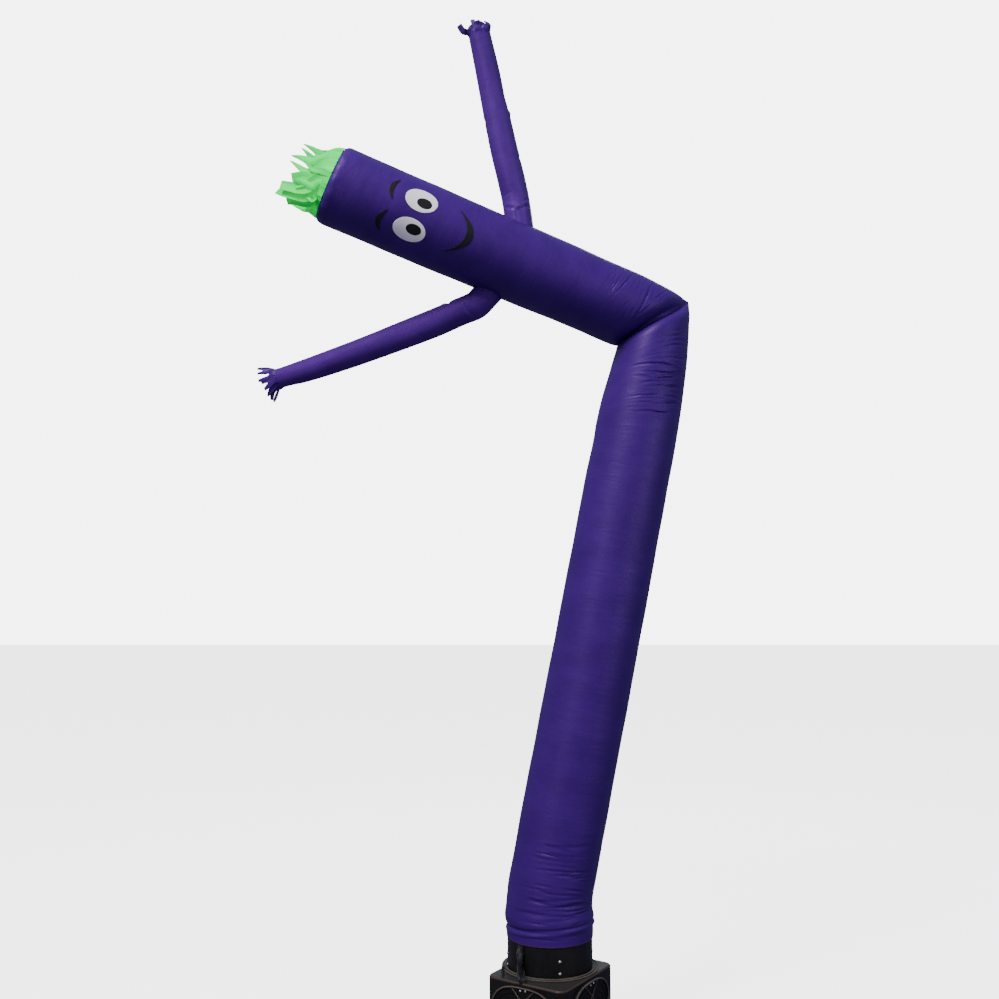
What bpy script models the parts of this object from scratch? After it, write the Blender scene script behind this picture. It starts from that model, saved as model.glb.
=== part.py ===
"""Inflatable air dancer: a nylon tube figure blown up by the box blower that it stands on.

Metres, +Z up. The origin is on the ground, under the middle of the blower's round air outlet.
The figure leans to +X, folds sharply at an elbow and throws its head back towards -X and -Y.
The tube and its sleeves are hollow cloths, whose sections are the rows of the tables below.
"""

import math

import bpy
from mathutils import Vector
from mathutils.bvhtree import BVHTree

# ---- Driving sizes, in metres -------------------------------------------------------------
CLEARANCE = 0.0003       # between pieces that touch
CLOTH = 0.002            # wall of the tube and the sleeves
PATCH = 0.001            # sewn-on face pieces

GROUND_PAD = 0.012       # rubber pad under the blower
BOX_TOP = 0.440
BOX_LENGTH, BOX_WIDTH = 0.462, 0.535
BOX_CORNER, BOX_BEVEL, PAD_INSET = 0.045, 0.006, 0.020
BOX_TURN = math.radians(-33.5)
BOX_MIDDLE = (0.002, -0.050)

OUTLET_RADIUS = 0.2255   # outside of the sheet-metal outlet collar
OUTLET_WALL = 0.003
OUTLET_TOP = 0.700

FLANGE_STEPS = ((0.2560, 0.004), (0.2410, 0.008))   # (radius, height) of the two flange steps

GUARD_HALF = 0.198       # half the width of the dished intake guard on each side of the box
GUARD_SQUARENESS = 3.0   # 2 makes a round guard, and more squares its outline
GUARD_RIM, GUARD_DISH = 0.012, 0.022     # how far it stands out at its rim and its middle

PEG_RADIUS, PEG_HEIGHT = 0.008, 0.046
PEG_PLACE = (-0.250, -0.155)

ROUND = 32               # facets round the tube
SLEEVE_ROUND = 20        # facets round a sleeve
LEAN = 12.2              # degrees that the upper tube leans out of the fold's plane

# Sections of the tube from hem to elbow: centre x and z, roll of the section in degrees, and
# half its width across the fold's plane and half its depth.
LOWER_TUBE = (
    # x,      z,      roll, width,  depth
    (0.0000, 0.6000, 0.0, 0.2292, 0.2292),     # hem's lower edge
    (0.0000, 0.6340, 0.0, 0.2300, 0.2300),
    (0.0000, 0.6640, 0.0, 0.2293, 0.2293),     # tuck above the cuff
    (-0.0010, 0.6820, 0.0, 0.2350, 0.2350),
    (-0.0030, 0.7070, -1.0, 0.2370, 0.2362),
    (-0.0030, 0.7550, -4.0, 0.2310, 0.2320),
    (0.0000, 0.8100, -9.0, 0.2290, 0.2300),
    (0.0250, 0.9500, -11.3, 0.2295, 0.2300),
    (0.1540, 1.6000, -11.3, 0.2300, 0.2310),
    (0.3130, 2.4000, -11.3, 0.2300, 0.2310),
    (0.4420, 3.0500, -11.3, 0.2290, 0.2320),
    (0.4850, 3.2500, -7.0, 0.2285, 0.2325),
    (0.5075, 3.3800, 0.0, 0.2310, 0.2325),
    (0.5350, 3.5280, 6.8, 0.2305, 0.2325),
    (0.5570, 3.6420, 12.0, 0.2290, 0.2335),
    (0.5745, 3.7450, 16.7, 0.2265, 0.2345),
    (0.5870, 3.8250, 21.5, 0.2265, 0.2330),
    (0.5950, 3.8820, 26.0, 0.2305, 0.2200),
)
ELBOW = (0.5950, 3.9150, 30.6, 0.2340, 0.1900)   # the fold itself
ELBOW_PINCH, ELBOW_PINCH_REACH = 0.30, 0.045      # how far the fold's ends are drawn to a point
# Sections from the elbow to the head, which also come forward.
UPPER_TUBE = (
    # x,      y,       z,      roll, lean, width,  depth
    (0.5710, -0.0060, 3.9310, 33.5, 2.0, 0.2330, 0.2250),
    (0.5280, -0.0160, 3.9520, 37.4, 4.0, 0.2290, 0.2420),
    (0.4650, -0.0300, 3.9800, 42.5, 6.0, 0.2245, 0.2450),
    (0.3820, -0.0490, 4.0150, 47.8, 9.0, 0.2200, 0.2440),
    (0.2780, -0.0720, 4.0540, 52.9, 11.0, 0.2145, 0.2420),
    (0.1480, -0.1010, 4.1020, 58.8, LEAN, 0.2105, 0.2390),
    (0.0040, -0.1340, 4.1540, 65.5, LEAN, 0.2095, 0.2360),
    (-0.1870, -0.1770, 4.2220, 67.6, LEAN, 0.2100, 0.2330),
    (-0.5130, -0.2530, 4.3390, 67.8, LEAN, 0.2115, 0.2290),
    (-0.8550, -0.3330, 4.4610, 67.3, LEAN, 0.2125, 0.2250),
    (-1.1290, -0.3975, 4.5605, 67.0, LEAN, 0.2125, 0.2215),
)
# The head end beyond the last section: how far out, and the share of its size that is left.
HEAD_END = ((0.018, 0.985), (0.032, 0.945), (0.042, 0.880), (0.050, 0.740), (0.055, 0.560),
            (0.057, 0.380))

# Deepest folds pressed into the tube above the hem and beside the elbow: distance along the
# centreline from the elbow, the angle round the tube where the fold is deepest, its half span,
# its depth, half its width and how far it slants over its span.
FOLDS = (
    # along, angle, span, depth, width, slant
    (-3.215, 345.0, 65.0, 0.013, 0.022, 0.010),
    (-0.085, 315.0, 62.0, 0.010, 0.020, 0.015),
    (-0.160, 325.0, 55.0, 0.008, 0.018, -0.012),
    (-0.250, 320.0, 60.0, 0.007, 0.020, 0.010),
    (0.085, 255.0, 50.0, 0.009, 0.020, -0.050),
    (0.190, 235.0, 45.0, 0.007, 0.022, -0.060),
)

SHOULDER_ALONG = 0.925       # from the elbow to the sleeves, along the centreline
SHOULDER_HOLE = 0.048        # half the length of each sleeve's air hole
RAISED_COLUMN, LOW_COLUMN = 31, 15   # facet edges of the tube that the sleeves are centred on
# Centrelines of the sleeves from shoulder to wrist, and the radius there.
RAISED_SLEEVE = (
    # x,      y,      z,     radius
    (-0.1790, -0.2440, 4.5500, 0.0800),
    (-0.2000, -0.2640, 4.6400, 0.0760),
    (-0.2420, -0.3000, 4.8000, 0.0745),
    (-0.2860, -0.3450, 4.9800, 0.0720),
    (-0.3260, -0.3900, 5.1600, 0.0670),
    (-0.3760, -0.4520, 5.3650, 0.0590),
)
LOW_SLEEVE = (
    # x,      y,      z,     radius
    (-0.4000, -0.1570, 3.9950, 0.0790),
    (-0.4750, -0.1500, 3.9660, 0.0770),
    (-0.6300, -0.1300, 3.8960, 0.0745),
    (-0.7960, -0.1100, 3.8340, 0.0720),
    (-0.9600, -0.0900, 3.7760, 0.0690),
    (-1.1320, -0.0700, 3.7180, 0.0650),
    (-1.3700, -0.0400, 3.6430, 0.0570),
    (-1.4600, -0.0240, 3.6150, 0.0530),
)
SLEEVE_STEPS = 1             # rings for each row of a sleeve's table
ROOT_CLEAR = 0.012           # how far a sleeve's first free ring stands off the tube
ROOT_GAP = 0.0008            # from the round tube to the sleeve's root, which has flat facets

FACE_ANGLE = 259.0           # where the face is centred, round the tube
FACE_CURVE = 0.227           # radius of the tube there
FACE_LIFT = 0.0009           # clearance under the curved pieces, which the tube's facets need
EYE_ALONG, EYE_APART = 1.450, 0.180
EYE_WIDE, EYE_TALL = 0.135, 0.175
PUPIL_WIDE, PUPIL_TALL = 0.060, 0.082
PUPIL_SHIFT = (0.012, -0.020)    # towards the nose, and down the face
BROW_ALONG, BROW_WIDE, BROW_THICK, BROW_ARCH = 1.590, 0.130, 0.022, 0.026
SMILE_ALONG, SMILE_WIDE, SMILE_DROP, SMILE_THICK = 1.240, 0.250, 0.090, 0.034

# Hair: flat strips that stand on a ring sewn to the rounded head end.
HAIR_STRIPS = 32
HAIR_STRIP_SHARE = 0.72      # of its pitch that a strip fills
HAIR_LENGTH = 0.246
HAIR_RING_HEIGHT, HAIR_THICK = 0.010, 0.0016
HAIR_RING_LIFT = 0.0010      # from the rounded head end to the ring
HAIR_RING_MIX = (0.22, 0.34)   # the ring's outer and inner edge, between two rings of the end
HAIR_DRAWN_IN, HAIR_WAVE, HAIR_DROOP = 0.055, 0.030, 0.016

HAND_STRIP_SHARE = 0.62
HAND_RING_HEIGHT, HAND_THICK = 0.012, 0.0016

# The cinch strap's loose end: distance out from the outlet's axis, height, and sideways drift.
STRAP_WIDE, STRAP_THICK = 0.044, 0.002
STRAP_ANGLE = math.radians(-134.0)
STRAP_PATH = (
    # out,    z,      aside
    (0.2283, 0.5996, 0.000),
    (0.2310, 0.5700, 0.001),
    (0.2400, 0.5200, 0.008),
    (0.2500, 0.4800, 0.020),
    (0.2610, 0.4560, 0.036),
    (0.2760, 0.4440, 0.056),
    (0.2940, 0.4416, 0.076),
)


# ---- Materials ----------------------------------------------------------------------------
def make_material(name, colour, roughness, metallic=0.0):
    """A Principled material of one colour."""
    material = bpy.data.materials.new(name)
    material.use_nodes = True
    shader = material.node_tree.nodes["Principled BSDF"]
    shader.inputs["Base Color"].default_value = (*colour, 1.0)
    shader.inputs["Roughness"].default_value = roughness
    shader.inputs["Metallic"].default_value = metallic
    return material


# ---- Mesh helpers -------------------------------------------------------------------------
def add_object(name, points, faces, material):
    """An object of this mesh, without the points that no face uses, shaded smooth to a crease."""
    used = sorted({index for face in faces for index in face})
    place = {old: new for new, old in enumerate(used)}
    faces = [tuple(place[index] for index in face) for face in faces]
    mesh = bpy.data.meshes.new(name)
    mesh.from_pydata([tuple(points[index]) for index in used], [], faces)
    mesh.update()
    mesh.shade_smooth()
    mesh.set_sharp_from_angle(angle=math.radians(35.0))
    mesh.materials.append(material)
    made = bpy.data.objects.new(name, mesh)
    bpy.context.scene.collection.objects.link(made)
    return made


def split_quad(a, b, c, d):
    """Two triangles, always along the same diagonal, so that two layers never cross."""
    return [(a, b, c), (a, c, d)]


def grid_normals(rings):
    """The outward direction at each point of a grid of closed rings that run anticlockwise."""
    normals = []
    for i, ring in enumerate(rings):
        before, after = rings[max(i - 1, 0)], rings[min(i + 1, len(rings) - 1)]
        normals.append([
            (ring[(j + 1) % len(ring)] - ring[j - 1]).cross(after[j] - before[j]).normalized()
            for j in range(len(ring))])
    return normals


def cloth_shell(name, outside, inside, material, holes=()):
    """A closed wall between two grids of rings, open at both ends and at the holes' cells."""
    count = len(outside[0])
    layer = len(outside) * count
    points = [p for ring in outside for p in ring] + [p for ring in inside for p in ring]
    faces = []

    def at(i, j, inner):
        return inner * layer + i * count + j % count

    def is_cloth(i, j):
        return 0 <= i < len(outside) - 1 and (i, j % count) not in holes

    for i in range(len(outside) - 1):
        for j in range(count):
            if not is_cloth(i, j):
                continue
            faces += split_quad(at(i, j, 0), at(i, j + 1, 0), at(i + 1, j + 1, 0), at(i + 1, j, 0))
            faces += split_quad(at(i, j + 1, 1), at(i, j, 1), at(i + 1, j, 1), at(i + 1, j + 1, 1))
            if not is_cloth(i - 1, j):
                faces += split_quad(at(i, j + 1, 0), at(i, j, 0), at(i, j, 1), at(i, j + 1, 1))
            if not is_cloth(i + 1, j):
                faces += split_quad(
                    at(i + 1, j, 0), at(i + 1, j + 1, 0), at(i + 1, j + 1, 1), at(i + 1, j, 1))
            if not is_cloth(i, j - 1):
                faces += split_quad(at(i, j, 0), at(i + 1, j, 0), at(i + 1, j, 1), at(i, j, 1))
            if not is_cloth(i, j + 1):
                faces += split_quad(
                    at(i + 1, j + 1, 0), at(i, j + 1, 0), at(i, j + 1, 1), at(i + 1, j + 1, 1))
    return add_object(name, points, faces, material)


def turned(name, profile, segments, material):
    """A closed ring turned about Z from a closed profile of (radius, z), anticlockwise."""
    points, faces = [], []
    for k in range(segments):
        angle = 2 * math.pi * k / segments
        points += [Vector((r * math.cos(angle), r * math.sin(angle), z)) for r, z in profile]
    size = len(profile)
    for k in range(segments):
        here, there = k * size, (k + 1) % segments * size
        for i in range(size):
            j = (i + 1) % size
            faces += split_quad(here + i, there + i, there + j, here + j)
    return add_object(name, points, faces, material)


def comb(name, base, top, strips, material):
    """A closed ring with flat strips that grow out of its top, as one cloth cut into a fringe.

    base and top hold (outer, inner) points round the ring, two for each strip: where it starts
    and where it ends. strips holds each strip's further sections, of four points each.
    """
    count = len(base)
    points, faces = [], []
    for pair in base + top:
        points += pair

    def at(level, j, inner):
        return 2 * (level * count + j % count) + inner

    for j in range(count):
        faces += split_quad(at(0, j, 0), at(0, j + 1, 0), at(1, j + 1, 0), at(1, j, 0))
        faces += split_quad(at(0, j + 1, 1), at(0, j, 1), at(1, j, 1), at(1, j + 1, 1))
        faces += split_quad(at(0, j + 1, 0), at(0, j, 0), at(0, j, 1), at(0, j + 1, 1))
        if j % 2:
            faces += split_quad(at(1, j, 0), at(1, j + 1, 0), at(1, j + 1, 1), at(1, j, 1))
    for k, sections in enumerate(strips):
        below = [at(1, 2 * k, 0), at(1, 2 * k + 1, 0), at(1, 2 * k + 1, 1), at(1, 2 * k, 1)]
        for section in sections:
            above = list(range(len(points), len(points) + 4))
            points += section
            for i in range(4):
                j = (i + 1) % 4
                faces += split_quad(below[i], below[j], above[j], above[i])
            below = above
        faces += split_quad(*below)
    return add_object(name, points, faces, material)


# ---- The tube as a surface ----------------------------------------------------------------
def smooth_rates(knots, values):
    """Slopes that pass a smooth curve through the values without overshooting them."""
    steps = [(values[k + 1] - values[k]) / (knots[k + 1] - knots[k]) for k in range(len(knots) - 1)]
    rates = [steps[0]]
    for before, after in zip(steps, steps[1:]):
        rates.append(2 * before * after / (before + after) if before * after > 0 else 0.0)
    return rates + [steps[-1]]


def smooth_value(knots, values, rates, at):
    """The cubic through the values, read at one place."""
    k = max(i for i in range(len(knots) - 1) if i == 0 or knots[i] <= at)
    span = knots[k + 1] - knots[k]
    t = (at - knots[k]) / span
    return (
        values[k] * (1 + 2 * t) * (1 - t) ** 2 + values[k + 1] * t * t * (3 - 2 * t)
        + span * (rates[k] * t * (1 - t) ** 2 + rates[k + 1] * t * t * (t - 1)))


class Tube:
    """The cloth tube: a point for each distance along its centreline and angle round it."""

    def __init__(self):
        x, z, roll, width, depth = ELBOW
        rows = [(r[0], 0.0, r[1], r[2], 0.0, r[3], r[4]) for r in LOWER_TUBE]
        rows += [(x, 0.0, z, roll, 0.0, width, depth)] + list(UPPER_TUBE)
        self.elbow_row = len(LOWER_TUBE)
        along = [0.0]
        for a, b in zip(rows, rows[1:]):
            along.append(along[-1] + math.dist(a[:3], b[:3]))
        self.knots = [s - along[self.elbow_row] for s in along]
        self.columns = list(zip(*rows))
        self.rates = [smooth_rates(self.knots, column) for column in self.columns]

    def section(self, along):
        """Centre, cross direction, depth direction, outward direction and half sizes."""
        x, y, z, roll, lean, width, depth = (
            smooth_value(self.knots, values, rates, min(along, self.knots[-1]))
            for values, rates in zip(self.columns, self.rates))
        roll, lean = math.radians(roll), math.radians(lean)
        across = Vector((math.cos(roll), 0.0, math.sin(roll)))
        onward = Vector((-math.sin(roll) * math.cos(lean), -math.sin(lean),
                         math.cos(roll) * math.cos(lean)))
        return Vector((x, y, z)), across, onward.cross(across), onward, width, depth

    def fold_depth(self, along, angle):
        """How far the folds press the cloth in."""
        pressed = 0.0
        for place, middle, span, depth, width, slant in FOLDS:
            turn = ((angle - middle + 180.0) % 360.0 - 180.0) / span
            if abs(turn) < 1.0:
                off = (along - place - slant * turn) / width
                pressed += depth * math.exp(-off * off) * (1.0 - turn * turn)
        return pressed

    def point(self, along, angle, out=0.0):
        """The point at this angle in degrees, with 270 facing forward, moved outwards."""
        centre, across, back, _, width, depth = self.section(along)
        turn = math.radians(angle)
        grow = out - self.fold_depth(along, angle)
        pinch = ELBOW_PINCH * math.exp(-(along / ELBOW_PINCH_REACH) ** 2)
        depth *= 1.0 - pinch * math.cos(turn) ** 2
        return (centre + across * (width + grow) * math.cos(turn)
                + back * (depth + grow) * math.sin(turn))

    def ring(self, along, count, out=0.0):
        return [self.point(along, 360.0 * j / count, out) for j in range(count)]

    def head_ring(self, outward, share, count, out=0.0):
        """A ring of the rounded head end."""
        centre, across, back, onward, width, depth = self.section(self.knots[-1])
        ring = []
        for j in range(count):
            turn = 2 * math.pi * j / count
            ring.append(centre + onward * outward + across * (width * share + out) * math.cos(turn)
                        + back * (depth * share + out) * math.sin(turn))
        return ring


def section_places(tube):
    """Where the tube's rings are: each row of the tables, the folds, and the long stretches."""
    longest = {False: 0.34, True: 0.15}
    places = []
    for row, (a, b) in enumerate(zip(tube.knots, tube.knots[1:])):
        pieces = math.ceil((b - a) / longest[row >= tube.elbow_row] - 0.05)
        places += [a + (b - a) * k / pieces for k in range(pieces)]
    places.append(tube.knots[-1])
    half = SHOULDER_HOLE
    near_shoulder = [s for s in places if abs(s - SHOULDER_ALONG) < 1.5 * half]
    places = [s for s in places if s not in near_shoulder]
    places += [SHOULDER_ALONG - half, SHOULDER_ALONG, SHOULDER_ALONG + half]
    for fold in FOLDS:
        places += [fold[0] - fold[4], fold[0], fold[0] + fold[4]]
    places = sorted(places)
    kept = [places[0]]
    for place in places[1:]:
        if place - kept[-1] > 0.008:
            kept.append(place)
    return kept


def build_tube(tube, material):
    """The whole tube as one hollow cloth, open at the hem, at the vent and at both shoulders."""
    places = section_places(tube)
    outside = [tube.ring(s, ROUND) for s in places]
    outside += [tube.head_ring(outward, share, ROUND) for outward, share in HEAD_END]
    normals = grid_normals(outside)
    inside = [
        [p - n * CLOTH for p, n in zip(ring, row)] for ring, row in zip(outside, normals)]
    first = min(range(len(places)), key=lambda i: abs(places[i] - SHOULDER_ALONG))
    holes = {(first + di, column + dj) for column in (RAISED_COLUMN, LOW_COLUMN)
             for di in (-1, 0) for dj in (-1, 0)}
    return cloth_shell("tube", outside, inside, material, holes)


def round_surface(tube, count=160):
    """The tube's outside with many facets, for seating what is sewn to it."""
    rings = [tube.ring(s, count) for s in section_places(tube)]
    points = [p for ring in rings for p in ring]
    faces = [(i * count + j, i * count + (j + 1) % count, (i + 1) * count + (j + 1) % count,
              (i + 1) * count + j) for i in range(len(rings) - 1) for j in range(count)]
    return BVHTree.FromPolygons(points, faces)


# ---- Sleeves and hands --------------------------------------------------------------------
def sleeve_rows(tube, table, column):
    """The sleeve's centreline and radius, from the tube's wall to the wrist."""
    root = tube.point(SHOULDER_ALONG, 360.0 * column / ROUND)
    rows = [(*root, table[0][3])] + [tuple(row) for row in table]
    knots = [0.0]
    for a, b in zip(rows, rows[1:]):
        knots.append(knots[-1] + math.dist(a[:3], b[:3]))
    columns = list(zip(*rows))
    rates = [smooth_rates(knots, column) for column in columns]
    steps = [knots[0]]
    for a, b in zip(knots, knots[1:]):
        steps += [a + (b - a) * (k + 1) / SLEEVE_STEPS for k in range(SLEEVE_STEPS)]
    return [[smooth_value(knots, v, r, s) for v, r in zip(columns, rates)] for s in steps]


def frame_along(rows, i, guide):
    """Directions across a sleeve's ring: one near the guide, and the one square to it."""
    before, after = rows[max(i - 1, 0)], rows[min(i + 1, len(rows) - 1)]
    onward = (Vector(after[:3]) - Vector(before[:3])).normalized()
    first = (guide - onward * guide.dot(onward)).normalized()
    return onward, first, onward.cross(first)


def sleeve_ring(rows, i, guide, shrink=0.0):
    _, first, second = frame_along(rows, i, guide)
    centre, radius = Vector(rows[i][:3]), rows[i][3] - shrink
    return [centre + (first * math.cos(t) + second * math.sin(t)) * radius
            for t in (2 * math.pi * j / SLEEVE_ROUND for j in range(SLEEVE_ROUND))]


def seated_root(tube_surface, ring, onward, gap):
    """The ring's points dropped along the sleeve until they lie this far off the tube."""
    seated = []
    for point in ring:
        start = point + onward * 0.25
        hit, normal, _, _ = tube_surface.ray_cast(start, -onward)
        seated.append(hit + onward * gap / max(abs(normal.dot(onward)), 0.3))
    return seated


def is_clear(tube_surface, ring):
    """Whether every point of a sleeve's ring stands off the tube."""
    for point in ring:
        nearest, normal, _, _ = tube_surface.find_nearest(point)
        if (point - nearest).dot(normal) < ROOT_CLEAR:
            return False
    return True


def build_sleeve(name, tube, tube_surface, table, column, material):
    """A hollow sleeve that meets the tube round its air hole and is open at the wrist."""
    rows = sleeve_rows(tube, table, column)
    guide = Vector((0.0, -1.0, 0.0))
    onward, _, _ = frame_along(rows, 0, guide)
    outside = [sleeve_ring(rows, i, guide) for i in range(len(rows))]
    inside = [sleeve_ring(rows, i, guide, CLOTH) for i in range(len(rows))]
    outside[0] = seated_root(tube_surface, outside[0], onward, ROOT_GAP)
    inside[0] = seated_root(tube_surface, inside[0], onward, ROOT_GAP)
    keep = [0] + [i for i in range(1, len(rows)) if is_clear(tube_surface, outside[i])]
    cloth_shell(name, [outside[i] for i in keep], [inside[i] for i in keep], material)
    return rows


def build_hand(name, rows, strip_table, material):
    """A fringed band at the wrist: strips of cloth that splay and curl."""
    guide = Vector((0.0, -1.0, 0.0))
    onward, first, second = frame_along(rows, len(rows) - 1, guide)
    wrist, radius = Vector(rows[-1][:3]), rows[-1][3]

    def place(turn, out, along):
        side = first * math.cos(turn) + second * math.sin(turn)
        return wrist + onward * along + side * (radius + out)

    base, top, strips = [], [], []
    for k, (length, flare, curl, twist) in enumerate(strip_table):
        start = 2 * math.pi * k / len(strip_table)
        end = start + 2 * math.pi / len(strip_table) * HAND_STRIP_SHARE
        for turn in (start, end):
            base.append([place(turn, 0.0, CLEARANCE), place(turn, -HAND_THICK, CLEARANCE)])
            top.append([place(turn, 0.0, HAND_RING_HEIGHT),
                        place(turn, -HAND_THICK, HAND_RING_HEIGHT)])
        sections = []
        for share in (0.25, 0.5, 0.75, 1.0):
            middle, half = (start + end) / 2, (end - start) / 2 * (1.0 - 0.35 * share)
            middle += twist * share * share
            along = HAND_RING_HEIGHT + length * math.sin(share * curl) / curl
            out = flare * share + length * (1.0 - math.cos(share * curl)) / curl
            sections.append([
                place(middle - half, out, along), place(middle + half, out, along),
                place(middle + half, out - HAND_THICK, along - HAND_THICK * share),
                place(middle - half, out - HAND_THICK, along - HAND_THICK * share)])
        strips.append(sections)
    return comb(name, base, top, strips, material)


# Strips of each hand: length, flare, curl in radians, and twist round the wrist.
RAISED_HAND = (
    # length, flare, curl, twist
    (0.080, 0.006, 1.10, 0.10),
    (0.095, 0.008, 0.70, -0.10),
    (0.065, 0.004, 0.90, 0.12),
    (0.090, 0.004, 1.30, 0.00),
    (0.090, 0.008, 0.60, -0.12),
    (0.070, 0.006, 0.80, 0.08),
    (0.095, 0.010, 0.80, 0.00),
)
LOW_HAND = (
    # length, flare, curl, twist
    (0.120, 0.010, 0.55, 0.10),
    (0.100, 0.006, 0.70, -0.08),
    (0.130, 0.008, 0.40, 0.06),
    (0.095, 0.012, 0.60, 0.00),
    (0.140, 0.006, 0.35, -0.10),
    (0.110, 0.010, 0.80, 0.08),
    (0.125, 0.004, 0.50, 0.00),
)


# ---- Hair ---------------------------------------------------------------------------------
def build_hair(tube, material):
    """A ring on the rounded head end, cut into flat strips that the air blows outwards."""
    centre, across, back, onward, width, depth = tube.section(tube.knots[-1])
    (low_out, low_share), (high_out, high_share) = HEAD_END[1], HEAD_END[2]
    droop = Vector((0.0, 0.0, -1.0))

    def on_end(turn, mix):
        """A point on the facets of the head end, between two of its rings."""
        facet = turn / (2 * math.pi) * ROUND
        j, part = math.floor(facet), facet - math.floor(facet)
        share = low_share + (high_share - low_share) * mix
        out = low_out + (high_out - low_out) * mix
        ends = [(math.cos(t) * width * share, math.sin(t) * depth * share)
                for t in (2 * math.pi * (j + d) / ROUND for d in (0, 1))]
        a, b = (ends[0][i] + (ends[1][i] - ends[0][i]) * part for i in (0, 1))
        return centre + onward * out + across * a + back * b

    base, top, strips = [], [], []
    for k in range(HAIR_STRIPS):
        start = 2 * math.pi * k / HAIR_STRIPS
        end = start + 2 * math.pi / HAIR_STRIPS * HAIR_STRIP_SHARE
        for turn in (start, end):
            pair = [on_end(turn, mix) + onward * HAIR_RING_LIFT for mix in HAIR_RING_MIX]
            base.append(pair)
            top.append([p + onward * HAIR_RING_HEIGHT for p in pair])
        middle, half = (start + end) / 2, (end - start) / 2
        wave = math.sin(2.4 * k) + 0.6 * math.sin(5.3 * k + 1.0)
        length = HAIR_LENGTH * (1.0 + 0.16 * math.sin(3.7 * k + 0.5))
        side = across * math.cos(middle) + back * math.sin(middle)
        tangent = back * math.cos(middle) - across * math.sin(middle)
        reach = width * math.cos(middle) ** 2 + depth * math.sin(middle) ** 2
        root = (top[-2][0] + top[-1][0]) / 2
        sections = []
        for share in (0.2, 0.45, 0.7, 1.0):
            out = HAIR_WAVE * wave * share * share
            out -= HAIR_DRAWN_IN * math.sin(min(2.2 * share, math.pi / 2))
            spot = (root + onward * length * share + side * out
                    + droop * HAIR_DROOP * share * share)
            wide = half * reach * (0.92 - 0.50 * share)
            turned_wide = tangent * wide + onward * wide * 0.25 * math.sin(4.1 * k) * share
            sections.append([
                spot - turned_wide, spot + turned_wide,
                spot + turned_wide - side * HAIR_THICK, spot - turned_wide - side * HAIR_THICK])
        strips.append(sections)
    return comb("hair", base, top, strips, material)


# ---- Face ---------------------------------------------------------------------------------
def face_point(tube, place, out):
    """The point of the tube at this place on the face: (sideways, up the face) in metres."""
    return tube.point(place[1], FACE_ANGLE + math.degrees(place[0] / FACE_CURVE), out)


def patch(name, tube, outline, middle, lift, material, rings=3):
    """A thin sewn-on piece that follows the tube.

    outline holds (sideways, up the face) in metres round the piece, and middle is a point
    inside it for each outline point, so that the piece is a fan of rings.
    """
    count = len(outline)
    levels = [[(m[0] + (o[0] - m[0]) * k / rings, m[1] + (o[1] - m[1]) * k / rings)
               for o, m in zip(outline, middle)] for k in range(1, rings + 1)]
    core = (sum(m[0] for m in middle) / count, sum(m[1] for m in middle) / count)
    points, faces = [], []
    for out in (lift + PATCH, lift):
        points.append(face_point(tube, core, out))
        for level in levels:
            points += [face_point(tube, place, out) for place in level]
    layer = 1 + rings * count

    def at(level, j, under):
        return under * layer + 1 + level * count + j % count

    for j in range(count):
        faces.append((0, at(0, j, 0), at(0, j + 1, 0)))
        faces.append((layer, at(0, j + 1, 1), at(0, j, 1)))
        for level in range(rings - 1):
            faces += split_quad(at(level, j, 0), at(level + 1, j, 0),
                                at(level + 1, j + 1, 0), at(level, j + 1, 0))
            faces += split_quad(at(level, j + 1, 1), at(level + 1, j + 1, 1),
                                at(level + 1, j, 1), at(level, j, 1))
        last = rings - 1
        faces += split_quad(at(last, j, 1), at(last, j + 1, 1), at(last, j + 1, 0), at(last, j, 0))
    return add_object(name, points, faces, material)


def oval(middle, wide, tall, count=24):
    """An upright oval, anticlockwise as seen on the face."""
    return [(middle[0] + wide / 2 * math.cos(t), middle[1] + tall / 2 * math.sin(t))
            for t in (2 * math.pi * j / count for j in range(count))]


def crescent(middle, wide, arch, thick, count=10):
    """A crescent with pointed ends that arches up where arch is positive."""
    upper, lower = [], []
    for k in range(count + 1):
        x = wide / 2 * (1.0 - 2.0 * k / count)
        rise = arch * (1.0 - (2 * x / wide) ** 2)
        swell = thick / 2 * (1.0 - (2 * x / wide) ** 2) + 0.003
        upper.append((middle[0] + x, middle[1] + rise + swell))
        lower.append((middle[0] + x, middle[1] + rise - swell))
    return upper, lower[::-1]


def strip_patch(name, tube, upper, lower, lift, material):
    """A long sewn-on piece between an upper and a lower line of as many points."""
    lower = lower[::-1]
    points, faces = [], []
    for out in (lift + PATCH, lift):
        for line in (upper, lower):
            points += [face_point(tube, place, out) for place in line]
    count = len(upper)

    def at(under, line, j):
        return (2 * under + line) * count + j

    for j in range(count - 1):
        faces += split_quad(at(0, 0, j), at(0, 0, j + 1), at(0, 1, j + 1), at(0, 1, j))
        faces += split_quad(at(1, 0, j + 1), at(1, 0, j), at(1, 1, j), at(1, 1, j + 1))
        faces += split_quad(at(0, 0, j + 1), at(0, 0, j), at(1, 0, j), at(1, 0, j + 1))
        faces += split_quad(at(0, 1, j), at(0, 1, j + 1), at(1, 1, j + 1), at(1, 1, j))
    faces += split_quad(at(0, 0, 0), at(0, 1, 0), at(1, 1, 0), at(1, 0, 0))
    end = count - 1
    faces += split_quad(at(0, 1, end), at(0, 0, end), at(1, 0, end), at(1, 1, end))
    return add_object(name, points, faces, material)


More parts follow.
